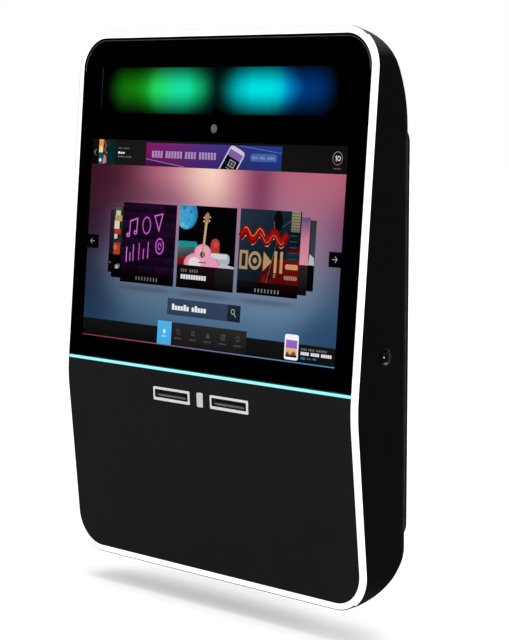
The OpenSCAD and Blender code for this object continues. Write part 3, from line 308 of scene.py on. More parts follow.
# Bright metal for a few faces on the lock cup's low wall: a painted highlight
surface("lock_rub", (204, 204, 206), 0.35, 1, shift=0.2, blotch=300)
surface("lock_dark", 5, spec=0.02, shift=0.1)
surface("sheet_steel", (168, 170, 174), 0.38, 1, shift=0.06, grain=500, stretch=(1, 1, 14),
        wear=(205, 205, 208))
surface("hinge_zinc", (150, 150, 152), 0.4, 1, shift=0.1, wear=200)
surface("screw_zinc", (176, 176, 180), 0.3, 1, shift=0.08)
surface("fin_aluminium", (185, 187, 190), 0.35, 1, shift=0.05, stretch=(1, 20, 1))
surface("fin_black", (24, 24, 25), 0.42, 0.6, shift=0.1)
surface("roller_rubber", 38, 0.8, spec=0.2, grain=700, depth=0.0001)
surface("cassette_plastic", (58, 60, 64), spec=0.3)
surface("rocker_red", (178, 26, 20), 0.35, shift=0.08)
surface("button_green", (34, 140, 62), 0.4, shift=0.08)
surface("button_red", (168, 36, 30), 0.4, shift=0.08)
board("board_green", (14, 62, 30), (190, 160, 90))
board("board_blue", (18, 44, 92), (195, 165, 95))
glow("led_strip", (1, 0.98, 0.92, 1), 0.5, (0.85, 0.85, 0.8, 1))
surface("diffuser_body", (225, 228, 228), spec=0.3, shift=0.03)
surface("sensor_grey", (88, 88, 90), 0.4, spec=0.3, shift=0.05)
lit_layer("picture_light")


# Mesh helpers


def mesh_of(name, verts, faces, fix=False):
    """A mesh from points in millimetres. fix joins equal points and turns the faces outwards."""
    mesh = bpy.data.meshes.new(name)
    mesh.from_pydata([(x * MM, y * MM, z * MM) for x, y, z in verts], [], faces)
    if fix:
        b = bmesh.new()
        b.from_mesh(mesh)
        bmesh.ops.remove_doubles(b, verts=b.verts, dist=1e-6)
        bmesh.ops.recalc_face_normals(b, faces=b.faces)
        b.to_mesh(mesh)
        b.free()
    return mesh


def placed(name, data):
    o = bpy.data.objects.new(name, data)
    bpy.context.scene.collection.objects.link(o)
    return o


def shaded(mesh, angle):
    """Smooth faces, with sharp edges where the surface turns by more than an angle."""
    mesh.shade_smooth()
    mesh.set_sharp_from_angle(angle=radians(angle))


def piece(name, form, mats, hides=(), angle=50, index=None, body=DOOR):
    """A new object from (points, faces). index gives each face's place among its materials."""
    mesh = mesh_of(name, *form, fix=True)
    if index is not None:
        mesh.polygons.foreach_set("material_index", index[:len(mesh.polygons)])
    o = placed(name, mesh)
    for m in mats.split():
        mesh.materials.append(M[m])
    mesh.validate()
    shaded(mesh, angle)
    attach(o, body)
    if hides:
        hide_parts(*hides)
    return o


def loft(loops, closed=True, caps=False):
    """Faces between loops of equal length. closed joins the ends of each loop."""
    n = len(loops[0])
    verts = [p for loop in loops for p in loop]
    faces = []
    for i in range(len(loops) - 1):
        for k in range(n if closed else n - 1):
            a, b = i * n + k, i * n + (k + 1) % n
            faces.append((a, b, b + n, a + n))
    if caps:
        faces.append(tuple(range(n)))
        faces.append(tuple(range(len(verts) - n, len(verts))))
    return verts, faces


def join(*parts):
    """Several forms as one."""
    verts, faces = [], []
    for v, f in parts:
        k = len(verts)
        verts += v
        faces += [tuple(i + k for i in g) for g in f]
    return verts, faces


def round_rect(x0, z0, x1, z1, r, k=6):
    """Points round a rectangle whose corners have a radius r and k steps."""
    corners = ((x1 - r, z1 - r), (x0 + r, z1 - r), (x0 + r, z0 + r), (x1 - r, z0 + r))
    return [p for i, (cx, cz) in enumerate(corners) for p in arc(cx, cz, r, r, k, 90 * i, 90 * i + 90)]


def lathe(profile, place, steps, caps=False):
    """Turns (radius, depth) points about the z axis of a frame that place puts into the scene."""
    turns = [2 * pi * i / steps for i in range(steps)]
    return loft([[place(r * cos(a), r * sin(a), z) for a in turns] for r, z in profile], caps=caps)


def slab(grid, faces, front, back):
    """A sheet with thickness: front and back are the depths behind the face of its two sides."""
    n = len(grid)
    verts = [on_face(x, z, depth) for depth in (front, back) for x, z in grid]
    out = faces + [tuple(i + n for i in reversed(f)) for f in faces]
    edges = {(a, b): 0 for f in faces for a, b in zip(f, f[1:] + f[:1])}
    out += [(b, a, a + n, b + n) for a, b in edges if (b, a) not in edges]
    return verts, out


def softened(o, width, angle):
    """Bevels the edges that are sharper than an angle."""
    m = o.modifiers.new("edges", "BEVEL")
    m.width = width * MM
    m.segments = 2
    m.limit_method = "ANGLE"
    m.angle_limit = radians(angle)


def cut(o, form):
    """Cuts a closed form out of a piece."""
    cutter = placed("cutter", mesh_of("cutter", *form, fix=True))
    m = o.modifiers.new("hole", "BOOLEAN")
    m.object = cutter
    m.operation = "DIFFERENCE"
    m.solver = "EXACT"
    bpy.context.view_layer.update()
    made = bpy.data.meshes.new_from_object(o.evaluated_get(bpy.context.evaluated_depsgraph_get()))
    o.modifiers.remove(m)
    old = o.data
    made.name = old.name
    o.data = made
    bpy.data.meshes.remove(old)
    bpy.data.objects.remove(cutter)
    shaded(made, SHELL_ANGLE)


def dress(name, material, angle, edge):
    """A CAD node keeps its form and gets a finish, smooth round faces and softened edges."""
    o = nodes[name]
    o.data.materials.clear()
    o.data.materials.append(M[material])
    for f in o.data.polygons:
        f.material_index = 0
    o.modifiers.new("weld", "WELD").merge_threshold = 0.00002
    if edge:
        softened(o, edge, 50)
    shaded(o.data, angle)
    even = o.modifiers.new("even", "WEIGHTED_NORMAL")
    even.keep_sharp = True
    even.weight = 80


# Outline of the front


def levels(z0, z1):
    """Heights between z0 and z1, close together where the face bends at the waist."""
    fine = [Z_WAIST + 4 * i for i in range(-8, 9)]
    coarse = [z0 + (z1 - z0) * i / 16 for i in range(17)]
    return sorted({z0, z1, *(z for z in fine if z0 < z < z1), *(z for z in coarse if abs(z - Z_WAIST) > 36)})


def outline(inset, k=14):
    """Points round the front outline, drawn in by an inset, the same count at any inset."""
    r = CORNER_R - inset
    x, cx = HALF_W - inset, HALF_W - CORNER_R
    high, low = Z_TOP - CORNER_R, Z_BOTTOM + CORNER_R
    side = levels(low, high)
    out = [(x, z) for z in side] + arc(cx, high, r, r, k, 0, 90)[1:]
    out += [(cx - 2 * cx * i / 8, Z_TOP - inset) for i in range(1, 9)] + arc(-cx, high, r, r, k, 90, 180)[1:]
    out += [(-x, z) for z in reversed(side[:-1])] + arc(-cx, low, r, r, k, 180, 270)[1:]
    out += [(-cx + 2 * cx * i / 8, Z_BOTTOM + inset) for i in range(1, 9)]
    return out + arc(cx, low, r, r, k, 270, 360)[1:-1]


def light_frame():
    """The lit band, with rounded edges, and the foot and leg that hold it behind the glass."""
    section = [(0, BAND_T), (0, 1.4), (0.12, 0.85), (0.42, 0.42), (0.85, 0.12), (1.4, 0), (1.7, 0),
               (BAND_W - 1.1, 0), (BAND_W - 0.6, 0.1), (BAND_W - 0.22, 0.35), (BAND_W, 0.9),
               (BAND_W, BAND_T), (18.1, BAND_T), (18.1, 9.4), (16.9, 9.4), (16.9, 6.4), (10, 6.4),
               (10, BAND_T)]
    loops = [[on_face(x, z, n) for x, z in outline(inset)] for inset, n in section]
    verts, faces = loft(loops + loops[:1])
    ring = len(loops[0])
    # Painted shade: the moulding's outer side is dark grey and hardly lit, so it shows as a shaded hairline
    # below and at the left and faintly along the top, but stays white at the right, where light falls on it;
    # near the top the start of the inner rounding takes the black ink, a painted dark line
    white, side, dark = 0, 1, 2
    index = [side] * (ring * 6) + [white] * (ring * 2) + [dark] * (ring * 3) + [white] * (ring * 7)
    for i in range(ring * 8):
        x, _, z = (sum(verts[k][axis] for k in faces[i]) / 4 for axis in range(3))
        if i >= ring * 7:
            index[i] = dark if z > Z_TOP - 60 else white
        elif x > HALF_W - 24 or (z > Z_TOP - 40 and i >= ring * 3):
            index[i] = white
    looks = "band_light band_side mask_ink"
    piece("light_band", (verts, faces), looks, ["light_frame"], index=index)


# The pillow-shaped shell


def turn(q):
    """Place along a quarter of the profile, from 0 at its start to 1 at the back."""
    return asin(clamp(q)) / (pi / 2)


def shell_slice(y, inset, k=10):
    """Section of the shell at a depth y. Its corners are widest at the front and tighten to the back."""
    qt, ql = max(0, (y - Y_BACK) / TOP_D + 1), max(0, (y - Y_BACK) / LOW_D + 1)
    ft, fl = turn(qt), turn(ql)
    z1 = Z_TOP - TOP_H + TOP_H * max(0, 1 - qt ** TOP_P) ** (1 / TOP_P)
    z0 = Z_BOTTOM + LOW_H - LOW_H * max(0, 1 - ql ** LOW_P) ** (1 / LOW_P)
    z1 = min(Z_TOP, z1 + CROWN_TOP * sin(pi * ft) ** 2)
    z0 = max(Z_BOTTOM, z0 - CROWN_LOW * sin(pi * fl ** 1.4))
    past = max(0, y - Y_BACK + SIDE_R)
    hx = HALF_W - SIDE_R + sqrt(max(0, SIDE_R ** 2 - past ** 2))
    cx = HALF_W - CORNER_R
    out, runs = [], []

    def corner(sx, sz):
        rho = SOFT_FRONT + (SOFT_BACK - SOFT_FRONT) * (ft if sz > 0 else fl) - inset
        r = CORNER_R - inset - rho
        wide = hx - inset - rho
        cz = Z_TOP - CORNER_R if sz > 0 else Z_BOTTOM + CORNER_R
        lim = z1 - inset - rho if sz > 0 else z0 + inset + rho
        for i in range(k + 1):
            t = radians(90 * i / k)
            c, d = (cos(t), sin(t)) if sx * sz > 0 else (sin(t), cos(t))
            px, pz = cx + r * c, cz + sz * r * d
            if sz * (pz - lim) > 0:
                pz = lim
                h = sz * (lim - cz)
                px = cx + sqrt(max(0, r * r - h * h)) if h > 0 else cx + r
            out.append((sx * (min(px, wide) + rho * c), pz + sz * rho * d))

    for sx, sz, count in ((1, 1, 9), (-1, 1, 25), (-1, -1, 9), (1, -1, 25)):
        corner(sx, sz)
        runs.append((len(out), count))
        out.extend([None] * count)
    for start, count in runs:
        p, q = out[start - 1], out[(start + count) % len(out)]
        for i in range(count):
            f = (i + 1) / (count + 1)
            out[start + i] = (p[0] + (q[0] - p[0]) * f, p[1] + (q[1] - p[1]) * f)
    return out


def shell_skin(inset):
    """Ribs from the front edge to the back plane, as loops."""
    back = Y_BACK - inset
    steps = [0, 0.05, 0.12, 0.2, 0.28, 0.36, 0.44, 0.52, 0.6, 0.67]
    steps += [0.67 + 0.33 * sin(radians(5 * i)) for i in range(2, 19)]
    starts = []
    for k in range(len(shell_slice(-60, inset))):
        y = -100.0
        for _ in range(24):
            y = 0.5 * y + 0.5 * face_y(shell_slice(y, inset)[k][1], BAND_T)
        starts.append(y)
    loops = []
    for f in steps:
        loop, slices = [], {}
        for k, start in enumerate(starts):
            y = start + (back - start) * f
            key = round(y, 5)
            if key not in slices:
                slices[key] = shell_slice(y, inset)
            x, z = slices[key][k]
            loop.append((x, y, z))
        loops.append(loop)
    return loops


def shell():
    """The pillow-shaped shell, with room for the wall tray at its back and a hole for the lock."""
    outer, inner = shell_skin(0), shell_skin(WALL_T)
    # The lip behind the shell is cut straight where the wall tray stands
    side, low, high = 325, -299.3, 220.7
    edge = [(max(-side, min(side, x)), max(low, min(high, z))) for x, _, z in outer[-1]]
    lip = [[(x, y, z) for x, z in edge] for y in (Y_BACK, Y_BACK - WALL_T)]
    form = loft(outer + lip + inner[::-1] + outer[:1])
    o = piece("shell_skin", form, "shell_plastic", ["housing_shell"], SHELL_ANGLE)
    ring = round_rect(-TRAY_X, -TRAY_Z, TRAY_X, TRAY_Z, TRAY_R, 8)
    cut(o, loft([[(x, y, z) for x, z in ring] for y in (Y_BACK - TRAY_HUG, 2)], caps=True))
    cut(o, lathe([(LOCK_HOLE_R, -2), (LOCK_HOLE_R, 6)], at_lock, 64, caps=True))


# Lower panel with its slot openings


def lower_panel():
    """The plain panel below the waist, as a grid with holes for the two bezels and the lens."""
    inset = BAND_W + 0.2
    cx, r = HALF_W - CORNER_R, CORNER_R - inset
    # Its upper edge lies behind the waist light
    under_light = 24.65
    top = Z_WAIST + under_light * cos(TILT_UP)
    bezel_x, bezel_z, lens_x, lens_z = 44.4, 11.4, 7.2, 12.2
    xs = {side * (cx + r * sin(radians(7.5 * i))) for side in (-1, 1) for i in range(13)}
    xs |= {c + w for c in (-SLOT_X, SLOT_X) for w in (-bezel_x, 0, bezel_x)}
    xs |= {-lens_x, lens_x, 0, 200, -200, 150, -150.0}
    xs = sorted(xs)
    zs = [top, top - 6, top - 14] + [SLOT_Z + z for z in (lens_z, bezel_z, 0, -bezel_z, -lens_z)]
    zs += [zs[-1] - 6 * i for i in range(1, 5)]
    zs += [-170, -200, -240, -280, -320, Z_BOTTOM + CORNER_R]
    grid, faces = [], []
    rows = len(zs) + 3
    for x in xs:
        over = abs(x) - cx
        end = Z_BOTTOM + (CORNER_R - sqrt(max(0, r * r - over ** 2)) if over > 0 else inset)
        grid += [(x, z) for z in zs] + [(x, zs[-1] + (end - zs[-1]) * f) for f in (0.35, 0.7, 1)]
    for i in range(len(xs) - 1):
        for k in range(rows - 1):
            a = i * rows + k
            x, z = (xs[i] + xs[i + 1]) / 2, (grid[a][1] + grid[a + 1][1]) / 2 - SLOT_Z
            in_bezel = abs(abs(x) - SLOT_X) < bezel_x and abs(z) < bezel_z
            if not in_bezel and not (abs(x) < lens_x and abs(z) < lens_z):
                faces.append((a, a + 1, a + 1 + rows, a + rows))
    form = slab(grid, faces, GLASS_N, BAND_T)
    o = piece("lower_front", form, "panel_plastic", ["lower_panel"], 40)
    softened(o, 0.4, 60)


def slot_loop(cx, w, z0, z1, y, r):
    """A rounded loop in the slots' frame, at a depth y."""
    return [in_slot(x, y, z) for x, z in round_rect(cx - w, z0, cx + w, z1, r)]


def bezel(name, cx, node):
    """A silver surround with rolled edges, and dark walls inside it."""
    w, h = 44.2, 11.2
    rim = ((0, 6, 2), (0, 0, 2), (-0.1, -0.34, 1.9), (-0.4, -0.58, 1.6), (-0.75, -0.66, 1.3))
    mouth = ((0.75, -0.66, 1.5), (0.35, -0.56, 1.2), (0.08, -0.3, 1), (0, 0.1, 0.9), (0, 8, 0.9))
    loops = [slot_loop(cx, w + g, -h - g, h + g, y, r) for g, y, r in rim]
    loops += [slot_loop(cx, 40.2 + g, -6.2 - g, 7.2 + g, y, r) for g, y, r in mouth]
    foot = ((0, 6.4), (2.6, 6.4), (2.6, 5), (0, 5), (0, 6.4))
    clip = loft([slot_loop(cx, w + g, -h - g, h + g, y, 2) for g, y in foot])
    bright = len(loops[0]) * (len(rim) + 2)
    walls = loft(loops)
    index = [0] * bright + [1] * (len(walls[1]) - bright) + [0] * len(clip[1])
    piece(name, join(walls, clip), "bezel_silver throat_plastic", [node], index=index)


def throat(name, cx):
    """The funnel inside a surround, and the flap that closes its slit."""
    funnel = [slot_loop(cx, *row) for row in ((40, -6, 7, 0.9, 0.9), (38.6, -5, 6.9, 2.2, 1.2),
                                              (36.4, -4.2, 6.6, 4.4, 1.6), (35.2, -3.6, 6, 5.6, 1.2))]
    flap = [[in_slot(cx + x, y, z) for x in (-35.2, -20, 0, 20, 35.2)] for z, y in
            ((6, 5.4), (4.4, 5.9), (2.6, 6.2), (0.8, 6.2), (-0.8, 5.9), (-2.4, 5.4), (-3.6, 5))]
    piece(name, join(loft(funnel), loft(flap, closed=False)), "throat_plastic", angle=40)


def lip_bar(name, cx):
    """The guide bar below each slit, drawn in and rounded at its ends."""
    loops = []
    for i in range(25):
        f = i / 24
        x = cx - 38.4 + 74.8 * f
        left, right = min(1, f * 8), min(1, (1 - f) * 14)
        s = max(0.12, sqrt(1 - (1 - left) ** 2) * sqrt(1 - (1 - right) ** 2))
        mid = -2.2 + 0.7 * (1 - left)
        front = arc(2.6, mid, -1.9 * s, 2.2 * s, 8, -90, 90)
        loops.append([in_slot(x, y, z) for y, z in front + [(5, mid + 1.7 * s), (5, mid - 1.7 * s)]])
    piece(name, loft(loops, caps=True), "guide_lip")


def status_lens():
    """The small pale window between the slots."""
    loops = []
    for grow, y in ((0, 6), (0, 0), (-0.25, -0.35), (-0.8, -0.6), (-2, -0.8), (-4, -0.95)):
        loops.append(slot_loop(0, 7 + grow, -12 - grow, 12 + grow, y, 3.0 + grow * 0.4))
    piece("status_window", loft(loops, caps=True), "status_lens", ["status_lens"])


# Lock


def lock():
    """A deep cup let into the side wall, a dark face at its bottom, and the bright key post."""
    cup = [(14, 0), (14, -0.2), (13.95, -0.4), (13.8, -0.5), (13.6, -0.5), (13.45, -0.35), (12.2, 1.7),
           (11, 3.7), (10.9, 5.4), (10.5, 5.9), (6.7, 5.9), (6.4, 6), (6.3, 6.4), (6.3, 31),
           (9.5, 31), (9.5, 9), (13, 9), (13, 0), (14, 0)]
    n = 72
    verts, faces = lathe(cup, at_lock, n)
    index = [0] * (n * 5) + [1] * (n * 4) + [2] * (len(faces) - n * 9)
    # Painted highlight: the low side of the wall is given a bright metal, standing in for the light it
    # catches
    for i in range(n * 6, n * 8):
        _, y, z = (sum(verts[k][axis] for k in faces[i]) / 4 for axis in range(3))
        if -93 < degrees(atan2(z - LOCK_Z, y - LOCK_Y)) < -58:
            index[i] = 3
    looks = "lock_rim lock_wall lock_dark lock_rub"
    piece("lock_cup", (verts, faces), looks, ["lock_body"], 40, index)
    pin = [(0.01, 2.5), (0.5, 2.54), (0.9, 2.75), (1.15, 3.1), (1.2, 3.5), (1.2, 8.6)]
    ring = [(3.75, 8), (3.75, 3.9), (4, 3.58), (4.4, 3.5), (5.7, 3.5), (6.05, 3.6), (6.2, 3.9),
            (6.22, 9)]
    # The small mark beside the post shows how the key goes in
    mark = [(0.01, 3.3), (0.4, 3.32), (0.6, 3.45), (0.62, 3.7)]
    for part, profile, up, back, steps, mat in (("pin", pin, -1.2, 1.2, 32, "lock_chrome"),
                                                ("face", ring, 0, 0, 48, "lock_dark"),
                                                ("mark", mark, 2.9, 2, 20, "guide_lip")):
        form = lathe(profile, lambda x, y, z: at_lock(x + up, y + back, z), steps)
        piece("lock_key_" + part, form, mat, body=KEY)


light_frame()
shell()
lower_panel()
slots = (("note", -SLOT_X), ("card", SLOT_X))
for kind, x in slots:
    bezel(kind + "_surround", x, kind + "_bezel")
status_lens()
for kind, x in slots:
    throat(kind + "_throat", x)
for kind, x in slots:
    lip_bar(kind + "_lip", x)
lock()


# The screen's picture: thin lit layers laminated to the glass

# Offset of the picture to the side, depth of its lowest layer, and the rise of each layer
PICTURE_X, PICTURE_N, LAYER = -2.9, 1.3, 0.035
# Sideways move for each millimetre of depth, and the depth that stays in place
SIDESTEP, STILL_N = 1.08, 0.75
# Half width of the picture
EDGE = 299.7


def picture_point(x, s, level):
    """A point of the picture. Deeper layers move aside, so all line up as the camera sees them."""
    n = PICTURE_N - LAYER * level
    return upper(x + PICTURE_X - SIDESTEP * (n - STILL_N), s, n)


class Picture:
    """Collects flat shapes of the screen into one piece."""

    def __init__(self, name, layer):
        self.name, self.layer = name, layer
        self.verts, self.faces, self.colors = [], [], []

    def add(self, points, color, lift=0):
        """A flat shape from (x, s) points. color is one colour, or a list with one for each point."""
        k = len(self.verts)
        self.verts += [picture_point(x, s, self.layer + lift) for x, s in points]
        self.faces.append(tuple(range(k, k + len(points))))
        self.colors += color if isinstance(color, list) else [color] * len(points)

    def rect(self, x0, s0, x1, s1, color, lift=0):
        """A list gives the colours of the low-left, low-right, top-right and top-left corners."""
        self.add([(x0, s0), (x1, s0), (x1, s1), (x0, s1)], color, lift)

    def round(self, x0, s0, x1, s1, r, color, lift=0):
        self.add(round_rect(x0, s0, x1, s1, r, 5), color, lift)

    def grid(self, xs, rows, tone, lift=0):
        """Cells that take the colours of tone(x, s) at their corners."""
        for xa, xb in zip(xs, xs[1:]):
            for sa, sb in zip(rows, rows[1:]):
                self.rect(xa, sa, xb, sb, [tone(xa, sa), tone(xb, sa), tone(xb, sb), tone(xa, sb)], lift)

    def disc(self, cx, cs, r, color, lift=0, steps=36, squeeze=1.0):
        self.add(arc(cx, cs, r, r * squeeze, steps)[:-1], color, lift)

    def ring(self, cx, cs, r, w, color, lift=0, steps=40, a0=0, a1=360, low=None):
        """A ring of width w. low is another colour for its lower half."""
        inner, outer = (arc(cx, cs, q, q, steps, a0, a1) for q in (r - w, r))
        for i in range(steps):
            c = low if low and outer[i][1] < cs - 0.1 * r else color
            self.add([inner[i], outer[i], outer[i + 1], inner[i + 1]], c, lift)

    def stroke(self, points, w, color, lift=0):
        """A line of width w, its parts with square ends."""
        for (x0, s0), (x1, s1) in zip(points, points[1:]):
            f = w / 2 / hypot(x1 - x0, s1 - s0)
            ex, es = (x1 - x0) * f, (s1 - s0) * f
            self.add([(x0 - ex - es, s0 - es + ex), (x0 - ex + es, s0 - es - ex),
                      (x1 + ex + es, s1 + es - ex), (x1 + ex - es, s1 + es + ex)], color, lift)

    def words(self, x0, s0, x1, h, color, lengths, lift=0, fill=0.7, tall=1.0):
        """A line of text shown only as small blocks. tall is the height of the lower ones."""
        step = (x1 - x0) / (sum(lengths) + 0.8 * (len(lengths) - 1))
        x = x0
        for word, count in enumerate(lengths):
            for k in range(count):
                top = h * (1.0 if (k * 3 + word) % 4 == 0 else tall)
                self.rect(x, s0, x + step * fill, s0 + top, color, lift)
                x += step
            x += 0.8 * step

    def cut(self, points, box, color, lift=0):
        """A flat shape of one colour, trimmed to a box (x0, s0, x1, s1)."""
        for axis, limit, sign in ((0, box[0], 1), (1, box[1], 1), (0, box[2], -1), (1, box[3], -1)):
            out = []
            for p, q in zip(points, points[1:] + points[:1]):
                dp, dq = sign * (p[axis] - limit), sign * (q[axis] - limit)
                if dp >= 0:
                    out.append(p)
                if dp * dq < 0:
                    out.append(blend(p, q, dp / (dp - dq)))
            points = out
        if len(points) > 2:
            self.add(points, color, lift)

    def make(self):
        mesh = mesh_of(self.name, self.verts, self.faces)
        layer = mesh.color_attributes.new("tint", "FLOAT_COLOR", "POINT")
        layer.data.foreach_set("color", np.array([srgb(c) for c in self.colors], np.float32).ravel())
        mesh.materials.append(M["picture_light"])
        o = placed(self.name, mesh)
        # Faces look out of the front
        for f in mesh.polygons:
            if f.normal.y > 0:
                f.flip()
        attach(o, DOOR)


def blend(a, b, f):
    """Between two points or two colours."""
    return tuple(p + (q - p) * f for p, q in zip(a, b))


def along(stops, at):
    """Value at a place, from (place, value) stops in falling order of place."""
    if at >= stops[0][0]:
        return stops[0][1]
    for (p, a), (q, b) in zip(stops, stops[1:]):
        if at >= q:
            f = (p - at) / (p - q)
            return blend(a, b, f) if isinstance(a, tuple) else a + (b - a) * f
    return stops[-1][1]


BASE_TONES = [(361, (186, 102, 124)), (306, (172, 110, 135)), (250, (144, 118, 148)), (225, (134, 126, 149)),
              (200, (120, 127, 149)), (160, (101, 122, 148)), (135, (90, 119, 147)), (97, (68, 102, 134))]
# Colour, place and softness of the dark left side, then the dark right side
LEFT_TONES = [(361, (62, 21, 36)), (306, (52, 20, 36)), (250, (40, 25, 43)), (200, (34, 34, 57)),
              (160, (32, 44, 67)), (135, (32, 50, 74)), (112, (34, 58, 87))]
LEFT_EDGE = [(352, -181), (306, -165), (284, -225), (250, -230), (200, -250), (160, -240), (135, -226),
             (112, -212)]
LEFT_REACH = [(352, 28), (335, 32), (318, 45), (306, 50), (284, 22), (250, 25)]
RIGHT_TONES = [(361, (150, 74, 98)), (306, (120, 50, 80)), (250, (90, 60, 95)), (200, (70, 75, 100)),
               (150, (45, 75, 105)), (112, (40, 70, 103))]
RIGHT_EDGE = [(361, 335), (306, 298), (280, 287), (250, 287), (200, 280), (160, 262), (135, 240), (112, 215)]


def backdrop_tone(x, s):
    """Colour of the soft backdrop: a pale glow at the top, rose to slate blue, darker at both sides."""
    c = along(BASE_TONES, s)
    reach = along([(345, 85), (306, 62)], s) if x < 5 else 55
    c = blend(c, (252, 214, 196), exp(-((x - 5) / reach) ** 2 - ((361 - s) / 80) ** 2))
    dip = 0.88 * exp(-((x - 118) / 33) ** 2) * clamp((s - 275) / 25)
    c = blend(c, (128, 62, 94), dip)
    c = blend(c, along(LEFT_TONES, s), 1 / (1 + exp((x - along(LEFT_EDGE, s)) / along(LEFT_REACH, s))))
    c = blend(c, along(RIGHT_TONES, s), 1 / (1 + exp((along(RIGHT_EDGE, s) - x) / 20)))
    level = 1 + 0.05 * max(-1.0, min(1.0, x / 150)) * clamp((200 - s) / 30)
    for middle, height in ((-142, 156.5), (-1, 156.0), (143, 155.5)):
        level *= 1 - 0.2 * exp(-((x - middle) / 58) ** 4 - ((s - height) / 4.5) ** 2)
    return tuple(v * level for v in c)


def backdrop():
    p = Picture("screen_backdrop", 0)
    rows = [96.0 + 8 * i for i in range(6)] + [140.0 + 2 * i for i in range(15)]
    rows += [168.0 + 193.5 * i / 24 for i in range(1, 25)]
    p.grid([EDGE * (i / 32 - 1) for i in range(65)], rows, backdrop_tone)
    p.make()


BANNER_TONES = [(1.0, (34, 60, 138)), (0.72, (48, 54, 134)), (0.45, (80, 48, 132)), (0.2, (118, 36, 116)),
                (0.0, (134, 28, 108))]


def banner_tone(x, s):
    """Colour of the banner: blue at the right to purple at the left, darker below."""
    f = (x + 160) / 320
    level = 1 - 0.26 * clamp((399 - s) / 36) * (1 - 0.5 * f)
    return tuple(v * level for v in along(BANNER_TONES, f))


def top_bar():
    """The dark bar at the head of the screen, with a small cover, a banner and a count."""
    p = Picture("screen_top_bar", 1)
    p.rect(-EDGE, 361.2, -150, 403.6, [20, 26, 27, 18])
    p.rect(-150, 361.2, EDGE, 403.6, [26, 18, 16, 24])
    p.rect(-EDGE, 361.2, -285, 403.2, [4, 4, 22, 14], 1)
    # Small cover at the left: a sun over a coast, in flat shapes
    p.rect(-282.4, 361.6, -240.5, 403, [(6, 48, 48), (4, 42, 46), (4, 40, 44), (8, 46, 48)], 1)
    p.rect(-282.4, 392, -271, 403, [(226, 150, 60), (224, 138, 50), (232, 172, 70), (236, 176, 70)], 2)
    p.rect(-282.4, 381, -272, 392.5, [(238, 228, 180), (236, 220, 170), (240, 196, 120), (238, 200, 120)], 2)
    p.rect(-282.4, 361.6, -271, 381, [(10, 96, 90), (12, 80, 80), (30, 70, 60), (24, 84, 70)], 2)
    p.disc(-278, 368, 3.2, (226, 232, 226), 3)
    p.add([(-272, 361.6), (-262, 364), (-263, 374), (-269, 378)], (198, 128, 136), 3)
    p.stroke([(-270, 401), (-264, 393), (-268, 386), (-262, 380)], 3.2, (150, 70, 58), 4)
    p.stroke([(-262, 400), (-256, 396)], 2.4, (74, 26, 34), 3)
    p.stroke([(-246, 398), (-248, 384), (-245, 370)], 1.4, (2, 24, 28), 3)
    p.stroke([(-289.6, 386), (-294.4, 381.3), (-289.6, 376.6)], 1.1, 150, 2)
    p.words(-232, 388.2, -203, 2.2, (92, 108, 120), [3, 4], 1)
    p.words(-232, 380, -214, 3.6, 230, [3], 1, 0.85, 0.8)
    p.words(-232, 374, -197, 2.2, 112, [5, 4], 1)
    # Banner with a slanted handset and a round-ended key
    p.grid([-160 + 16 * i for i in range(21)], [361.6, 370, 380, 390, 400], banner_tone, 1)
    area = (-160, 361.6, 159.5, 400)
    p.add([(-160, 372.5), (-66, 361.6), (-160, 361.6)], [(84, 16, 84), (62, 24, 92), (70, 12, 74)], 2)
    p.stroke([(-159.6, 373), (-66, 362.2)], 0.7, (190, 150, 196), 3)
    p.stroke([(66, 399.4), (158, 389.6)], 0.6, (120, 150, 205), 3)
    p.words(-145, 375.6, 12, 11.4, (184, 152, 200), [4, 6, 4, 6], 2, 0.72)
    for i in range(5):
        p.rect(-145, 377.2 + 2.4 * i, 12, 377.6 + 2.4 * i, banner_tone(-66, 380), 3)

    def slanted(points, color, lift):
        """A shape in the leaning frame of the handset."""
        points = [(45 + 0.93 * u - 0.5646 * w, 401.5 - 0.367 * u - 0.825 * w) for u, w in points]
        p.cut(points, area, color, lift)

    slanted([(0, 6), (2, 1.5), (8, 0), (28, 0), (34, 1.5), (37, 6), (37, 60), (0, 60)], (206, 200, 214), 4)
    for u0, u1, w0, w1, color, lift in (
            (2.6, 34.4, 7, 60, (132, 96, 170), 5), (2.6, 34.4, 19, 60, (10, 8, 12), 6),
            (13, 28, 23, 35, (158, 158, 164), 7), (15, 26, 25, 33, (16, 14, 20), 8),
            (18, 23, 27, 31, (128, 128, 134), 9), (12, 30, 38, 40, (120, 120, 126), 7)):
        slanted([(u0, w0), (u1, w0), (u1, w1), (u0, w1)], color, lift)
    p.round(89.2, 375.4, 149.6, 387.8, 5, (70, 100, 160), 4)
    p.words(94, 379.2, 145, 5, (120, 148, 198), [3, 3, 4], 5, 0.7, 0.7)
    # Count of plays left, a plain number in a ring
    p.ring(279.5, 385, 10.6, 1.3, (132, 132, 138), 1, low=(150, 92, 104))
    p.stroke([(275.4, 387.6), (276.8, 388.6), (276.8, 381.4)], 1.5, 222, 2)
    p.ring(282.2, 385, 3.9, 1.5, 222, 2)
    p.words(272, 368.4, 288, 1.8, 100, [5], 1)
    p.make()


def neon(p, points, w, hot):
    """A lit tube: a wide violet glow below a narrow pale core."""
    tones = ((44, 8, 54), (78, 14, 90), (122, 34, 132), blend((176, 80, 180), (236, 146, 220), hot))
    for i, (f, color) in enumerate(zip((4.4, 2.6, 1.7, 1), tones)):
        p.stroke(points, w * f, color, 2 + i)


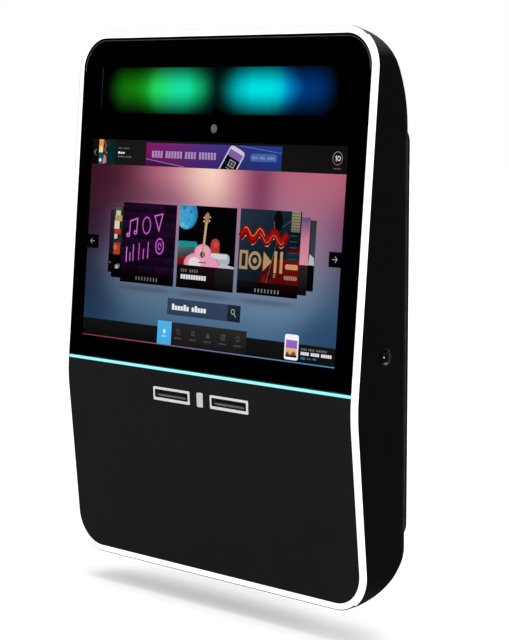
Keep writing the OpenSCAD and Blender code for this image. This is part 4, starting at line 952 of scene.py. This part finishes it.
def tiles():
    """Three covers with plain generic pictures, and the edges of those behind them."""
    p = Picture("screen_covers_back", 1)
    # Stacked edges, left and right
    p.rect(-242.5, 179, -228, 285, [(4, 3, 5), (4, 3, 5), (40, 26, 48), (46, 30, 54)], 1)
    p.rect(-242.5, 179, -228, 210, (5, 4, 6), 2)
    p.rect(-233.5, 171, -206, 291, [4, 4, (40, 44, 46), (52, 50, 54)], 3)
    for s0, s1, x0, x1, color in (
            (284, 290, -230, -214, (78, 86, 76)), (276, 284, -228, -216, (206, 198, 168)),
            (266, 276, -230, -212, (186, 150, 96)), (253, 267, -231, -218, (222, 208, 176)),
            (244, 253, -230, -214, (172, 50, 36)), (236, 244, -230, -222, 196),
            (226, 238, -226, -212, (34, 44, 62)), (210, 230, -230, -214, (176, 58, 34)),
            (218, 226, -230, -222, (206, 122, 70)), (188, 194, -222, -212, 196)):
        p.rect(x0, s0, x1, s1, color, 4)
    p.rect(-233.5, 171, -206, 209, (4, 4, 5), 4)
    p.rect(-224, 186, -216, 192, 170, 5)
    p.rect(-240, 194, -236, 197, (96, 96, 98), 3)
    p.rect(226, 180, 244.3, 289, [(58, 60, 64), (70, 74, 78), (52, 56, 60), (44, 46, 50)], 1)
    p.add([(231, 220), (244, 220), (242, 232), (233, 237)], (184, 188, 190), 2)
    p.rect(226, 180, 244.3, 220, (5, 5, 6), 3)
    p.rect(206, 258, 230.4, 292.6, [(196, 124, 150), (200, 126, 152), (84, 74, 112), (92, 80, 122)], 4)
    p.rect(206, 172.7, 230.4, 258, [(250, 162, 162), (250, 162, 162), (200, 126, 152), (196, 124, 150)], 5)
    p.rect(206, 172.7, 230.4, 219.4, [(6, 5, 6), (6, 5, 6), (44, 36, 38), (36, 30, 32)], 6)
    p.make()

    p = Picture("screen_cover_left", 7)
    x0, x1, s0, s1 = -209.4, -75.2, 165, 299
    p.rect(x0, s0, x1, s1, [(3, 2, 4), (5, 2, 6), (30, 12, 34), (20, 8, 24)])
    # A wall of bricks
    w, h = (x1 - x0) / 3.2, (s1 - s0 - 18) / 8
    for i in range(8):
        for k in range(4):
            xa, sa = x0 + (k - 0.5 * (i % 2)) * w + 1.2, s0 + 18 + i * h
            a, b = max(x0, xa), min(x1, xa + w - 2.4)
            c = blend((22, 5, 26), (40, 13, 46), ((i * 3 + k * 5) % 4) / 3)
            d = tuple(v * 0.6 for v in c)
            if b - a >= 2:
                p.rect(a, sa, b, sa + h - 2.2, [d, d, c, c], 1)
    # Neon signs in plain shapes: two notes, a ring, a plectrum, level bars and a spiral
    neon(p, [(-191, 245), (-190, 268), (-172, 273), (-173, 250)], 1.5, 0.8)
    neon(p, arc(-194.2, 244.4, 3.4, 2.6, 12), 1.4, 0.9)
    neon(p, arc(-176.2, 249.2, 3.4, 2.6, 12), 1.4, 0.6)
    neon(p, arc(-148.5, 262.5, 9.6, 13.6), 1.5, 0.4)
    neon(p, [(-129, 279), (-109.5, 283), (-117.5, 255), (-129, 279)], 1.5, 0.7)
    for x, low, high, hot in ((-196, 200, 223, 0.9), (-187, 202, 214, 0.7), (-179, 203, 228, 0.6),
                              (-164.5, 205, 231, 0.3), (-153, 207, 222, 0.5), (-142, 209, 234, 0.6)):
        neon(p, [(x, low), (x, high)], 1.5, hot)
    neon(p, arc(-113.5, 229.5, 9.4, 12.4, 24, 60, 400), 1.5, 0.6)
    neon(p, arc(-113.5, 229.5, 3.6, 5, 12, 0, 300), 1.3, 0.4)
    p.rect(x0, s0, x1, s0 + 16, [(2, 2, 3), (2, 2, 3), (6, 3, 8), (6, 3, 8)], 8)
    p.words(-169.5, 170.2, -111, 6, 104, [8], 9, 0.42)
    p.make()

    p = Picture("screen_cover_middle", 7)
    x0, x1, s0, s1 = -68.2, 67.4, 165.5, 300.4
    box = (x0, s0, x1, s1)
    p.rect(x0, s0, x1, s1, [(2, 2, 3), (4, 4, 6), (3, 3, 5), (2, 2, 4)])
    for k, c in enumerate(((38, 130, 184), (54, 148, 196), (66, 160, 204))):
        p.cut(arc(-51 - 2 * k, 286 - 3 * k, 26 - 4 * k, (26 - 4 * k) * 0.98), box, c, 1 + k)
    for x, h, r, c in ((-60, 268, 6, (104, 184, 216)), (-50, 265, 4, (96, 178, 212)),
                       (-64, 278, 3.4, (86, 172, 210)), (-46, 277, 3, (44, 136, 188)),
                       (-57, 296, 4.4, (30, 116, 172)), (-41, 290, 3.6, (30, 118, 174))):
        p.cut(arc(x, h, r, r * 0.7, 12), box, c, 4)
    # A low sofa in teal and red behind a pale stool, and a pink guitar that stands before them
    p.round(x0, 231, -22, 242, 4, (26, 142, 142), 2)
    p.rect(x0, 215, -20, 233, [(44, 62, 62), (38, 52, 52), (70, 92, 92), (92, 110, 108)], 3)
    p.rect(x0, 202, -44, 217, [(96, 14, 12), (104, 18, 16), (140, 30, 22), (134, 24, 18)], 3)
    p.round(10, 220, 31, 249, 9, (176, 56, 50), 2)
    rim = arc(22, 240, 7, 7, 36)
    for a, b in zip(rim, rim[1:]):
        p.add([(22, 240), a, b], [(206, 92, 80), (176, 56, 50), (176, 56, 50)], 3)
    p.rect(24, 212, 52, 216, (110, 20, 16), 3)
    p.round(6, 208, 56, 226, 8, (170, 182, 188), 4)
    p.round(10, 217, 50, 225, 4, (206, 214, 218), 5)
    p.add([(20, 203), (67, 203), (67, 206), (40, 210)], (196, 190, 190), 5)
    p.cut(arc(-10, 207, 42, 19, 40), box, (222, 132, 164), 5)
    p.cut(arc(-10, 207, 38, 16, 40), box, (232, 156, 184), 6)
    p.cut(arc(-8, 226, 20, 13, 32), box, (222, 132, 164), 5)
    p.cut(arc(-8, 226, 17, 11, 32), box, (236, 164, 190), 6)
    p.cut(arc(-26, 206, 15, 11, 24), box, (228, 222, 228), 7)
    p.disc(-8, 222, 5.6, (52, 20, 24), 8)
    p.stroke([(-16, 209), (0, 209)], 2, (120, 70, 44), 8)
    p.stroke([(-8, 222), (-3, 274)], 5.4, (200, 150, 100), 8)
    for i in range(9):
        p.stroke([(-9.4 + 0.5 * i, 232 + 4.8 * i), (-4.6 + 0.5 * i, 231.6 + 4.8 * i)], 0.7, (120, 76, 50), 9)
    p.stroke([(-9, 210), (-3.6, 274)], 0.5, (244, 226, 200), 10)
    p.stroke([(-6, 210), (-1.8, 274)], 0.5, (244, 226, 200), 10)
    p.add([(-7, 272), (1, 272), (3.5, 287), (-1, 291), (-7.5, 286)], (176, 126, 82), 9)
    for x, h in ((-9.4, 276), (-9, 282), (3.8, 277), (5.2, 283)):
        p.disc(x, h, 1.4, (226, 206, 176), 10, steps=10)
    p.rect(x0, s0, x1, 203, [(3, 2, 3), (8, 7, 8), (34, 31, 32), (12, 10, 12)], 8)
    p.rect(-36, s0, 24, 203, [(4, 3, 4), (6, 4, 6), (26, 14, 22), (20, 12, 18)], 9)
    p.words(-57.5, 191.5, -15, 5, (112, 112, 116), [3, 4], 10, 0.5)
    p.words(-57.5, 180, 4, 7.4, (226, 226, 228), [10], 10, 0.8)
    p.make()

    p = Picture("screen_cover_right", 7)
    x0, x1, s0, s1 = 75.5, 211.8, 166.5, 300.8
    p.rect(x0, s0, x1, s1, [(5, 7, 11), (30, 6, 7), (20, 34, 46), (32, 48, 60)])
    p.rect(x0, 186, 150, 296, [(20, 30, 42), (14, 20, 28), (26, 38, 52), (34, 50, 64)], 1)
    p.rect(185, 245, x1, 270, (12, 22, 34), 2)
    p.rect(183, 236, x1, 247, [(70, 10, 12), (92, 14, 14), (60, 10, 12), (44, 8, 10)], 3)
    p.rect(183, 224, x1, 237, (18, 42, 56), 3)
    p.rect(130, 168, x1, 225, [(24, 4, 5), (44, 6, 7), (120, 14, 12), (96, 12, 10)], 2)
    p.rect(190, 269, 209, s1, [(118, 110, 92), (124, 116, 98), (150, 140, 118), (140, 130, 110)], 4)
    for i in range(7):
        p.rect(190, 270.5 + 4.4 * i, 209, 271.6 + 4.4 * i, (84, 78, 64), 5)
    p.disc(161, 284, 9.6, (8, 7, 9), 3, squeeze=1.7)
    p.stroke([(152, 284), (154, 268), (160, 246)], 0.8, (120, 130, 136), 3)
    p.stroke([(172, 276), (190, 286)], 0.8, (86, 96, 100), 3)
    for i in range(5):
        p.rect(188, 226 + 9 * i, 204, 227.6 + 9 * i, (44, 70, 84), 4)
    # A guitar in flat shapes on the red side
    p.disc(139, 186, 15.5, (58, 8, 8), 4, squeeze=1.1)
    p.disc(141, 187, 12.5, (104, 14, 12), 5, squeeze=1.1)
    p.disc(150, 204, 10, (74, 10, 10), 5)
    p.disc(146, 195, 4.4, (12, 6, 8), 6)
    p.stroke([(150, 205), (160, 246)], 2.6, (30, 22, 22), 6)
    p.stroke([(141, 186), (158, 244)], 0.5, (150, 140, 120), 7)
    p.ring(159.5, 198.6, 2.6, 1, (196, 190, 184), 7, steps=12, a0=60, a1=300)
    # A red ribbon with a pale edge, then the plain signs for stop, record, play and pause
    wave = [(82 + 97 * i / 48, 257.5 + 6.5 * sin(i * 0.40) + 3.0 * (1 - i / 48)) for i in range(49)]
    p.stroke([(a + 0.8, b - 8.2) for a, b in wave], 2.2, (232, 172, 116), 8)
    p.stroke(wave, 13, (112, 10, 12), 9)
    p.stroke([(a, b + 1.6) for a, b in wave], 6.5, (160, 14, 14), 10)
    p.stroke([(a, b + 5) for a, b in wave[2:26]], 1.1, (226, 150, 100), 11)
    p.stroke([(a, b - 3.2) for a, b in wave[20:47]], 1, (206, 120, 84), 11)
    sand = (168, 142, 102)
    p.stroke([(81, 207.5), (95, 207.5), (95, 232.5), (81, 232.5), (81, 207.5)], 5, sand, 12)
    p.ring(113.5, 220, 14.6, 5.2, sand, 12)
    p.disc(113.5, 220, 4.6, sand, 12)
    p.add([(132.5, 204.5), (132.5, 235.5), (151.5, 220)], (172, 144, 102), 12)
    p.stroke([(159.5, 206), (159.5, 234)], 6, (188, 150, 100), 12)
    p.stroke([(172.5, 206), (172.5, 234)], 6, (180, 146, 102), 12)
    p.round(181.6, 210.4, 209.4, 218.4, 3, (196, 150, 100), 8)
    p.round(180, 194, 208.6, 200.2, 3, (160, 130, 112), 8)
    for i in range(5):
        p.rect(184 + 5 * i, 194.6, 185.4 + 5 * i, 199.6, (96, 36, 34), 9)
    p.rect(x0, s0, x1, s0 + 20, [(2, 3, 4), (4, 2, 3), (24, 4, 5), (12, 16, 22)], 8)
    p.rect(x0, s0, 150, s0 + 20, [(2, 3, 4), (3, 2, 3), (16, 6, 8), (12, 18, 24)], 9)
    p.words(116.5, 170.4, 175, 6, 120, [8], 10, 0.42)
    p.make()


# Small plain signs on the bottom keys: a ring (height, radius) or a shape, then strokes (width, points)
SIGNS = (
    ((0.6, 3.9), (1, (2, -2.2), (4, -4.6))),
    (None, (1.1, (-3.6, 3.4), (3.6, 3.4)), (1.1, (-3.6, 0.2), (3.6, 0.2)), (1.1, (-3.6, -3), (3.6, -3)),
     (1, (1.6, -4.2), (4.4, -1.4))),
    ([(-4.2, -2.4), (4.2, -2.4), (0, 4.4)], (1, (-4.6, -3.4), (4.6, -3.4))),
    (None, (1, (-4.6, -3.8), (4.6, -3.8), (4.6, 3.8), (-4.6, 3.8), (-4.6, -3.8)),
     (1.1, (-2.2, 0), (0, -2.2), (3, 3))),
    ((0.4, 4.2), (1, (0, -2), (0, -5.4))))


def controls():
    """Arrow keys, the search field, the bottom keys and the small handset."""
    p = Picture("screen_controls", 1)
    p.rect(-EDGE, 217.5, -270.5, 240.5, (3, 3, 4), 1)
    p.stroke([(-291, 229.4), (-281.2, 229.6)], 1, 170, 2)
    p.stroke([(-287.6, 233.4), (-291.4, 229.4), (-287.4, 225.4)], 1, 170, 2)
    p.rect(274, 220, EDGE, 243.5, (3, 3, 4), 1)
    p.stroke([(281.5, 231.8), (291, 232)], 1, 184, 2)
    p.stroke([(287.4, 236.2), (291.4, 232), (287.6, 227.8)], 1, 184, 2)
    p.rect(-85.7, 119, 87.9, 146, [(46, 62, 88), (48, 64, 88), (54, 70, 94), (50, 66, 90)], 1)
    p.rect(57.8, 119.6, 87.9, 146, [(22, 36, 44), (22, 34, 44), (28, 42, 52), (30, 44, 54)], 2)
    p.words(-74.4, 127.6, 9, 9.9, (236, 238, 240), [6, 5], 2, 0.8, 0.72)
    p.ring(70.6, 135.2, 4.4, 1.1, (186, 194, 198), 3, steps=24)
    p.stroke([(73.6, 131.6), (77.2, 127.6)], 1.2, (186, 194, 198), 3)
    p.rect(-EDGE, 67.5, EDGE, 97.4, [12, (16, 16, 17), 22, 20], 1)
    p.rect(-73, 67.5, 105, 107, [24, 22, (42, 40, 40), (38, 36, 36)], 2)
    p.rect(-107, 67.5, -72.6, 107.6, [(72, 172, 232), (72, 172, 232), (80, 182, 240), (80, 182, 240)], 3)
    star = [(-90 + r * sin(pi * i / 5), 90.6 + r * cos(pi * i / 5)) for i, r in enumerate((4.6, 2.4) * 5)]
    p.add(star, (226, 242, 250), 4)
    p.words(-95.6, 81.4, -84.6, 2.2, (190, 224, 244), [4], 4)
    pale, s = (86, 85, 84), 92.4
    for x, (form, *strokes) in zip((-56, -20.4, 15.8, 51, 85.4), SIGNS):
        if isinstance(form, tuple):
            p.ring(x, s + form[0], form[1], 1, pale, 3, steps=20)
        elif form:
            p.add([(x + a, s + b) for a, b in form], tuple(v * 0.9 for v in pale), 3)
        for w, *points in strokes:
            p.stroke([(x + a, s + b) for a, b in points], w, pale, 3)
        p.words(x - 8.5, 80.6, x + 8.5, 2.2, (84, 83, 82), [6], 3)
    stops = [(1, (62, 156, 192)), (0.6, (116, 124, 170)), (0.5, (122, 112, 158)), (0.25, (150, 74, 96)),
             (0, (140, 50, 66))]
    xs = [EDGE * (i / 12 - 1) for i in range(25)]
    p.grid(xs, [67.4, 69.1], lambda x, s: along(stops, (x / EDGE + 1) / 2), 5)
    p.round(190.8, 71.4, 221, 111, 4, (250, 249, 252), 6)
    p.rect(193.4, 75.4, 218.4, 102.4, (196, 182, 214), 7)
    p.rect(194, 89.6, 217.8, 102, [(146, 100, 196), (138, 92, 190), (150, 104, 200), (156, 110, 206)], 8)
    p.rect(194, 78, 217.8, 89.6, [(196, 144, 96), (206, 156, 106), (238, 196, 148), (236, 190, 142)], 8)
    p.add([(194, 78), (203, 78), (197.4, 84)], (92, 62, 40), 9)
    p.add([(203, 78), (217.8, 78), (211.6, 86)], (120, 84, 54), 9)
    p.rect(194, 75.8, 217.8, 78.4, 12, 10)
    p.words(226.6, 88.6, 283, 3.4, 120, [4, 4, 7], 6, 0.55)
    p.words(226.6, 81.2, 293, 5, (232, 232, 234), [4, 4, 5], 6, 0.85)
    p.round(227, 74.4, 237, 78.2, 1.5, (52, 104, 146), 6)
    p.words(240, 75, 250, 2.8, (70, 92, 110), [2], 6)
    p.round(252, 75.2, 261, 78.2, 1.2, (44, 98, 140), 6)
    p.make()


backdrop()
top_bar()
tiles()
controls()


# Inside and behind the glass: black ink, the glass edge, the light bar and the sensor


def ink():
    """Black ink over the whole of the glass, just under its surface. The lit picture lies before it."""
    inset, low, rows = 11.85, 31.4, 8
    cx, r = HALF_W - CORNER_R, CORNER_R - inset
    curve = [cx + r * sin(radians(90 * i / 14)) for i in range(1, 15)]
    xs = [-x for x in reversed(curve)] + [-cx + 2 * cx * i / 12 for i in range(13)] + curve
    z_low = Z_WAIST + low * cos(TILT_UP)
    grid = []
    for x in xs:
        over = abs(x) - cx
        top = Z_TOP - (CORNER_R - sqrt(max(0, r * r - over * over)) if over > 0 else inset)
        grid += [(x, z_low + (top - z_low) * k / (rows - 1)) for k in range(rows)]
    starts = [i * rows + k for i in range(len(xs) - 1) for k in range(rows - 1)]
    faces = [(a, a + 1, a + 1 + rows, a + rows) for a in starts]
    piece("glass_ink", slab(grid, faces, 1.5, BAND_T - 0.05), "mask_ink", angle=40)


def glass_edge():
    """The dark seal between glass and light band, and the polished bevel along the top, whose grey colour is
    a painted highlight of the light it catches.
    """
    seal = ((11.8, 1.55), (11.8, 0.62), (11.92, 0.5), (12.15, 0.45), (12.5, 0.47), (12.9, 1.55))
    bevel = ((14.55, 1.45), (14.6, 0.7), (14.7, 0.52), (14.9, 0.46), (15.15, 0.5), (15.3, 1.45))
    for name, low, profile, mat in (("glass_seal", Z_WAIST + 34, seal, "mask_ink"),
                                    ("glass_bevel", Z_TOP - 84, bevel, "glass_edge")):
        rings = [[on_face(x, z, n) for x, z in outline(inset)] for inset, n in profile]
        loops = [points for (_, z), *points in zip(outline(0), *rings) if z > low]
        piece(name, loft(loops, caps=True), mat)


def waist_seals():
    """The dark lips of the glass and of the panel that overlap the edges of the waist light."""
    half = HALF_W - BAND_W - 0.3
    for name, low, low_end, high, high_end in (("waist_seal_upper", 2.05, 1.6, 3.6, 3.6),
                                               ("waist_seal_lower", -3.15, -3.15, -2.3, -2.75)):
        loops = []
        for i in range(41):
            f = i / 40
            z0, z1 = low + (low_end - low) * f, high + (high_end - high) * f
            mid, r = WAIST_S + (z0 + z1) / 2, (z1 - z0) / 2
            section = arc(mid, 0.36, r, -0.2, 6, 0, 180) + [(mid - r, 0.9), (mid + r, 0.9)]
            loops.append([upper(-half + 2 * half * f, s, n) for s, n in section])
        piece(name, loft(loops, caps=True), "mask_ink")


HUES = [(275, (5, 40, 95)), (202, (0, 55, 125)), (170, (5, 130, 190)), (150, (0, 205, 225)),
        (128, (0, 230, 235)), (84, (0, 230, 235)), (40, (0, 170, 175)), (4, (5, 85, 75)),
        (-20, (10, 135, 80)), (-60, (20, 225, 155)), (-80, (25, 230, 170)), (-112, (30, 230, 145)),
        (-149, (35, 215, 90)), (-173, (20, 155, 35)), (-200, (20, 120, 15)), (-285, (15, 95, 10))]
# The two glowing parts: ends of the full glow, reach of the fall beyond each end, and the heart
LOBES = ((-219, -36, 51, 49, -105), (62, 228, 78, 50, 100))


def bar_tone(x, s):
    """Colour of the light bar: green to teal, then cyan to blue, each fading to its rounded ends."""
    v = abs(s - BAR_S - 3) / (BAR_H / 2)
    rise = 0.78 + 0.065 * clamp((-150 - x) / 50)
    best, middle = 0, LOBES[0][4]
    for x0, x1, left, right, heart in LOBES:
        d = (x0 - x) / left if x < x0 else (x - x1) / right if x > x1 else 0.0
        k = 1 - (d * d + (rise * v) ** 2) ** 0.835
        if k > best:
            best, middle = k, heart
    tone = along(HUES, middle + (x - middle) * (1 + 0.35 * v * v))
    return tuple(c * best for c in tone)


def bar_light():
    """The light bar's colours, and the dim line at its left end."""
    p = Picture("bar_light", 12)
    x0, x1, s0, s1 = -282.2, 271, BAR_S - BAR_H / 2, BAR_S + BAR_H / 2
    xs = [x0 + (x1 - x0) * i / 92 for i in range(93)]
    p.grid(xs, [s0 + (s1 - s0) * i / 14 for i in range(15)], bar_tone)
    p.rect(-283.6, s0 + 8, x0, s1, [(0, 40, 30), (0, 40, 30), (0, 76, 60), (0, 76, 60)])
    p.make()


def sensor():
    """A small round window of the sensor, flush with the ink."""
    profile = [(0.01, 0.8), (3, 0.81), (5.6, 0.87), (6.7, 1), (7.1, 1.3), (7.2, 1.7), (7.2, 7.8),
               (0.01, 7.8)]
    form = lathe(profile, lambda x, y, z: upper(x - 2, 425.5 + y, z), 40)
    piece("sensor_window", form, "sensor_grey", ["camera_lens"])


ink()
glass_edge()
waist_seals()
bar_light()
sensor()

# CAD nodes that keep their own form: finish, angle of sharp edges, width of softened edges, and names
for finish, angle, edge, names in (
        ("front_glass_tint", 35, 0.3, "front_glass"),
        ("mask_ink", 35, 0.1, "glass_mask"),
        ("carrier_plastic", 35, 0, "light_frame_carrier"),
        ("led_strip", 35, 0, "light_frame_leds"),
        ("screw_zinc", 30, 0, "front_screws chassis_screws cam_screw hinge_pins"),
        ("black_plastic", 35, 0.4, "display_panel light_bar_housing camera_module waist_crossbar"),
        ("sheet_steel", 35, 0.4, "display_chassis display_rails chassis_plate power_bracket computer_lid"),
        ("sheet_steel", 35, 0.4, "computer_case power_supply"),
        ("board_green", 35, 0.2, "display_driver_board computer_board"),
        ("board_blue", 35, 0.2, "amplifier_board"),
        ("diffuser_body", 35, 0, "light_bar_diffuser"),
        ("board_blue", 35, 0, "light_bar_board waist_light_board"),
        ("waist_cyan", 35, 0.3, "waist_light"),
        ("module_plastic", 35, 0.4, "note_validator card_reader"),
        ("roller_rubber", 30, 0.2, "note_drive_roller note_pinch_roller cable_grommet"),
        ("hinge_zinc", 35, 0.3, "cassette_rails hinge_leaves hinge_arms lock_cam lock_nut lock_keeper"),
        ("cassette_plastic", 35, 0.6, "note_cassette"),
        ("lock_dark", 35, 0.1, "lock_plug"),
        ("tray_coat", 32, 0.5, "wall_tray"),
        ("fin_aluminium", 30, 0.2, "cpu_heatsink"),
        ("fin_black", 30, 0.3, "amplifier_heatsink"),
        ("black_plastic", 30, 0.3, "computer_fan_frame computer_fan_rotor power_inlet speaker_terminals"),
        ("black_plastic", 30, 0.3, "service_panel network_module"),
        ("sheet_steel", 30, 0.4, "storage_drive"),
        ("rocker_red", 30, 0.3, "power_rocker"),
        ("button_green", 30, 0.3, "volume_up_button"),
        ("button_red", 30, 0.3, "volume_down_button")):
    for name in names.split():
        dress(name, finish, angle, edge)


# Studio

FLOOR_Z, FLOOR_SIZE = -478, 14000.0
SOFT_LIGHT = 0.72
FLOOR_GLOW = 0.24


def studio():
    """A white room that lights softly, and a pale floor that shows only the shadows."""
    scene = bpy.context.scene
    scene.view_settings.view_transform = "Standard"
    s = Shader("studio", bpy.data.worlds, "OutputWorld")
    soft, white = (s.node("Background", Color=WHITE, Strength=v).outputs[0] for v in (SOFT_LIGHT, 1))
    s.done(s.join("MixShader", s.seen(), soft, white))
    scene.world = s.data
    s = Shader("floor_pale")
    none, light = (s.node("Emission", Strength=v).outputs[0] for v in (0, FLOOR_GLOW))
    glowing = s.join("MixShader", s.seen(), none, light).outputs[0]
    body = s.node("BsdfDiffuse", Color=(0.8, 0.8, 0.8, 1)).outputs[0]
    corners = [(x * FLOOR_SIZE, y * FLOOR_SIZE, FLOOR_Z) for x, y in ((-1, -1), (1, -1), (1, 1), (-1, 1))]
    mesh = mesh_of("floor", corners, [(0, 1, 2, 3)])
    s.done(s.join("AddShader", body, glowing))
    mesh.materials.append(s.data)
    floor = placed("floor", mesh)


def lamp(name, kind, place, way, energy):
    """A light that shines along a direction."""
    data = bpy.data.lights.new(name, kind)
    data.energy = energy
    o = placed(name, data)
    o.location = place
    o.rotation_euler = Vector(way).to_track_quat("-Z", "Y").to_euler()
    return data


def lights():
    """Two broad suns and a weak panel behind the wall side."""
    suns = (("overhead", (-0.1, -0.02, -1), 1.85, 46), ("right", (-1, 0.15, -0.4), 1.2, 20))
    for name, way, energy, spread in suns:
        lamp(name, "SUN", [-2.0 * v for v in way], way, energy).angle = radians(spread)
    place, aim = Vector((1.3, 3.4, 0.5)), Vector((0.3, 0, 0.1))
    panel = lamp("behind", "AREA", place, aim - place, 5)
    panel.shape = "RECTANGLE"
    panel.size, panel.size_y = 2.6, 1.6


def camera():
    """The photograph's camera, as fitted to its outline. Lengths of the picture are in pixels."""
    data = bpy.data.cameras.new("view")
    picture, focal, shift = 640, 2031.49, (-6.87, 15.22)
    data.lens = data.sensor_width * focal / picture
    data.shift_x, data.shift_y = (v / picture for v in shift)
    data.clip_end = 60.0
    o = placed("view", data)
    o.location = (2.40053, -2.35016, 0.38611)
    o.rotation_euler = (radians(90 - 7.05), 0, radians(45.62))
    bpy.context.scene.camera = o


studio()
lights()
camera()
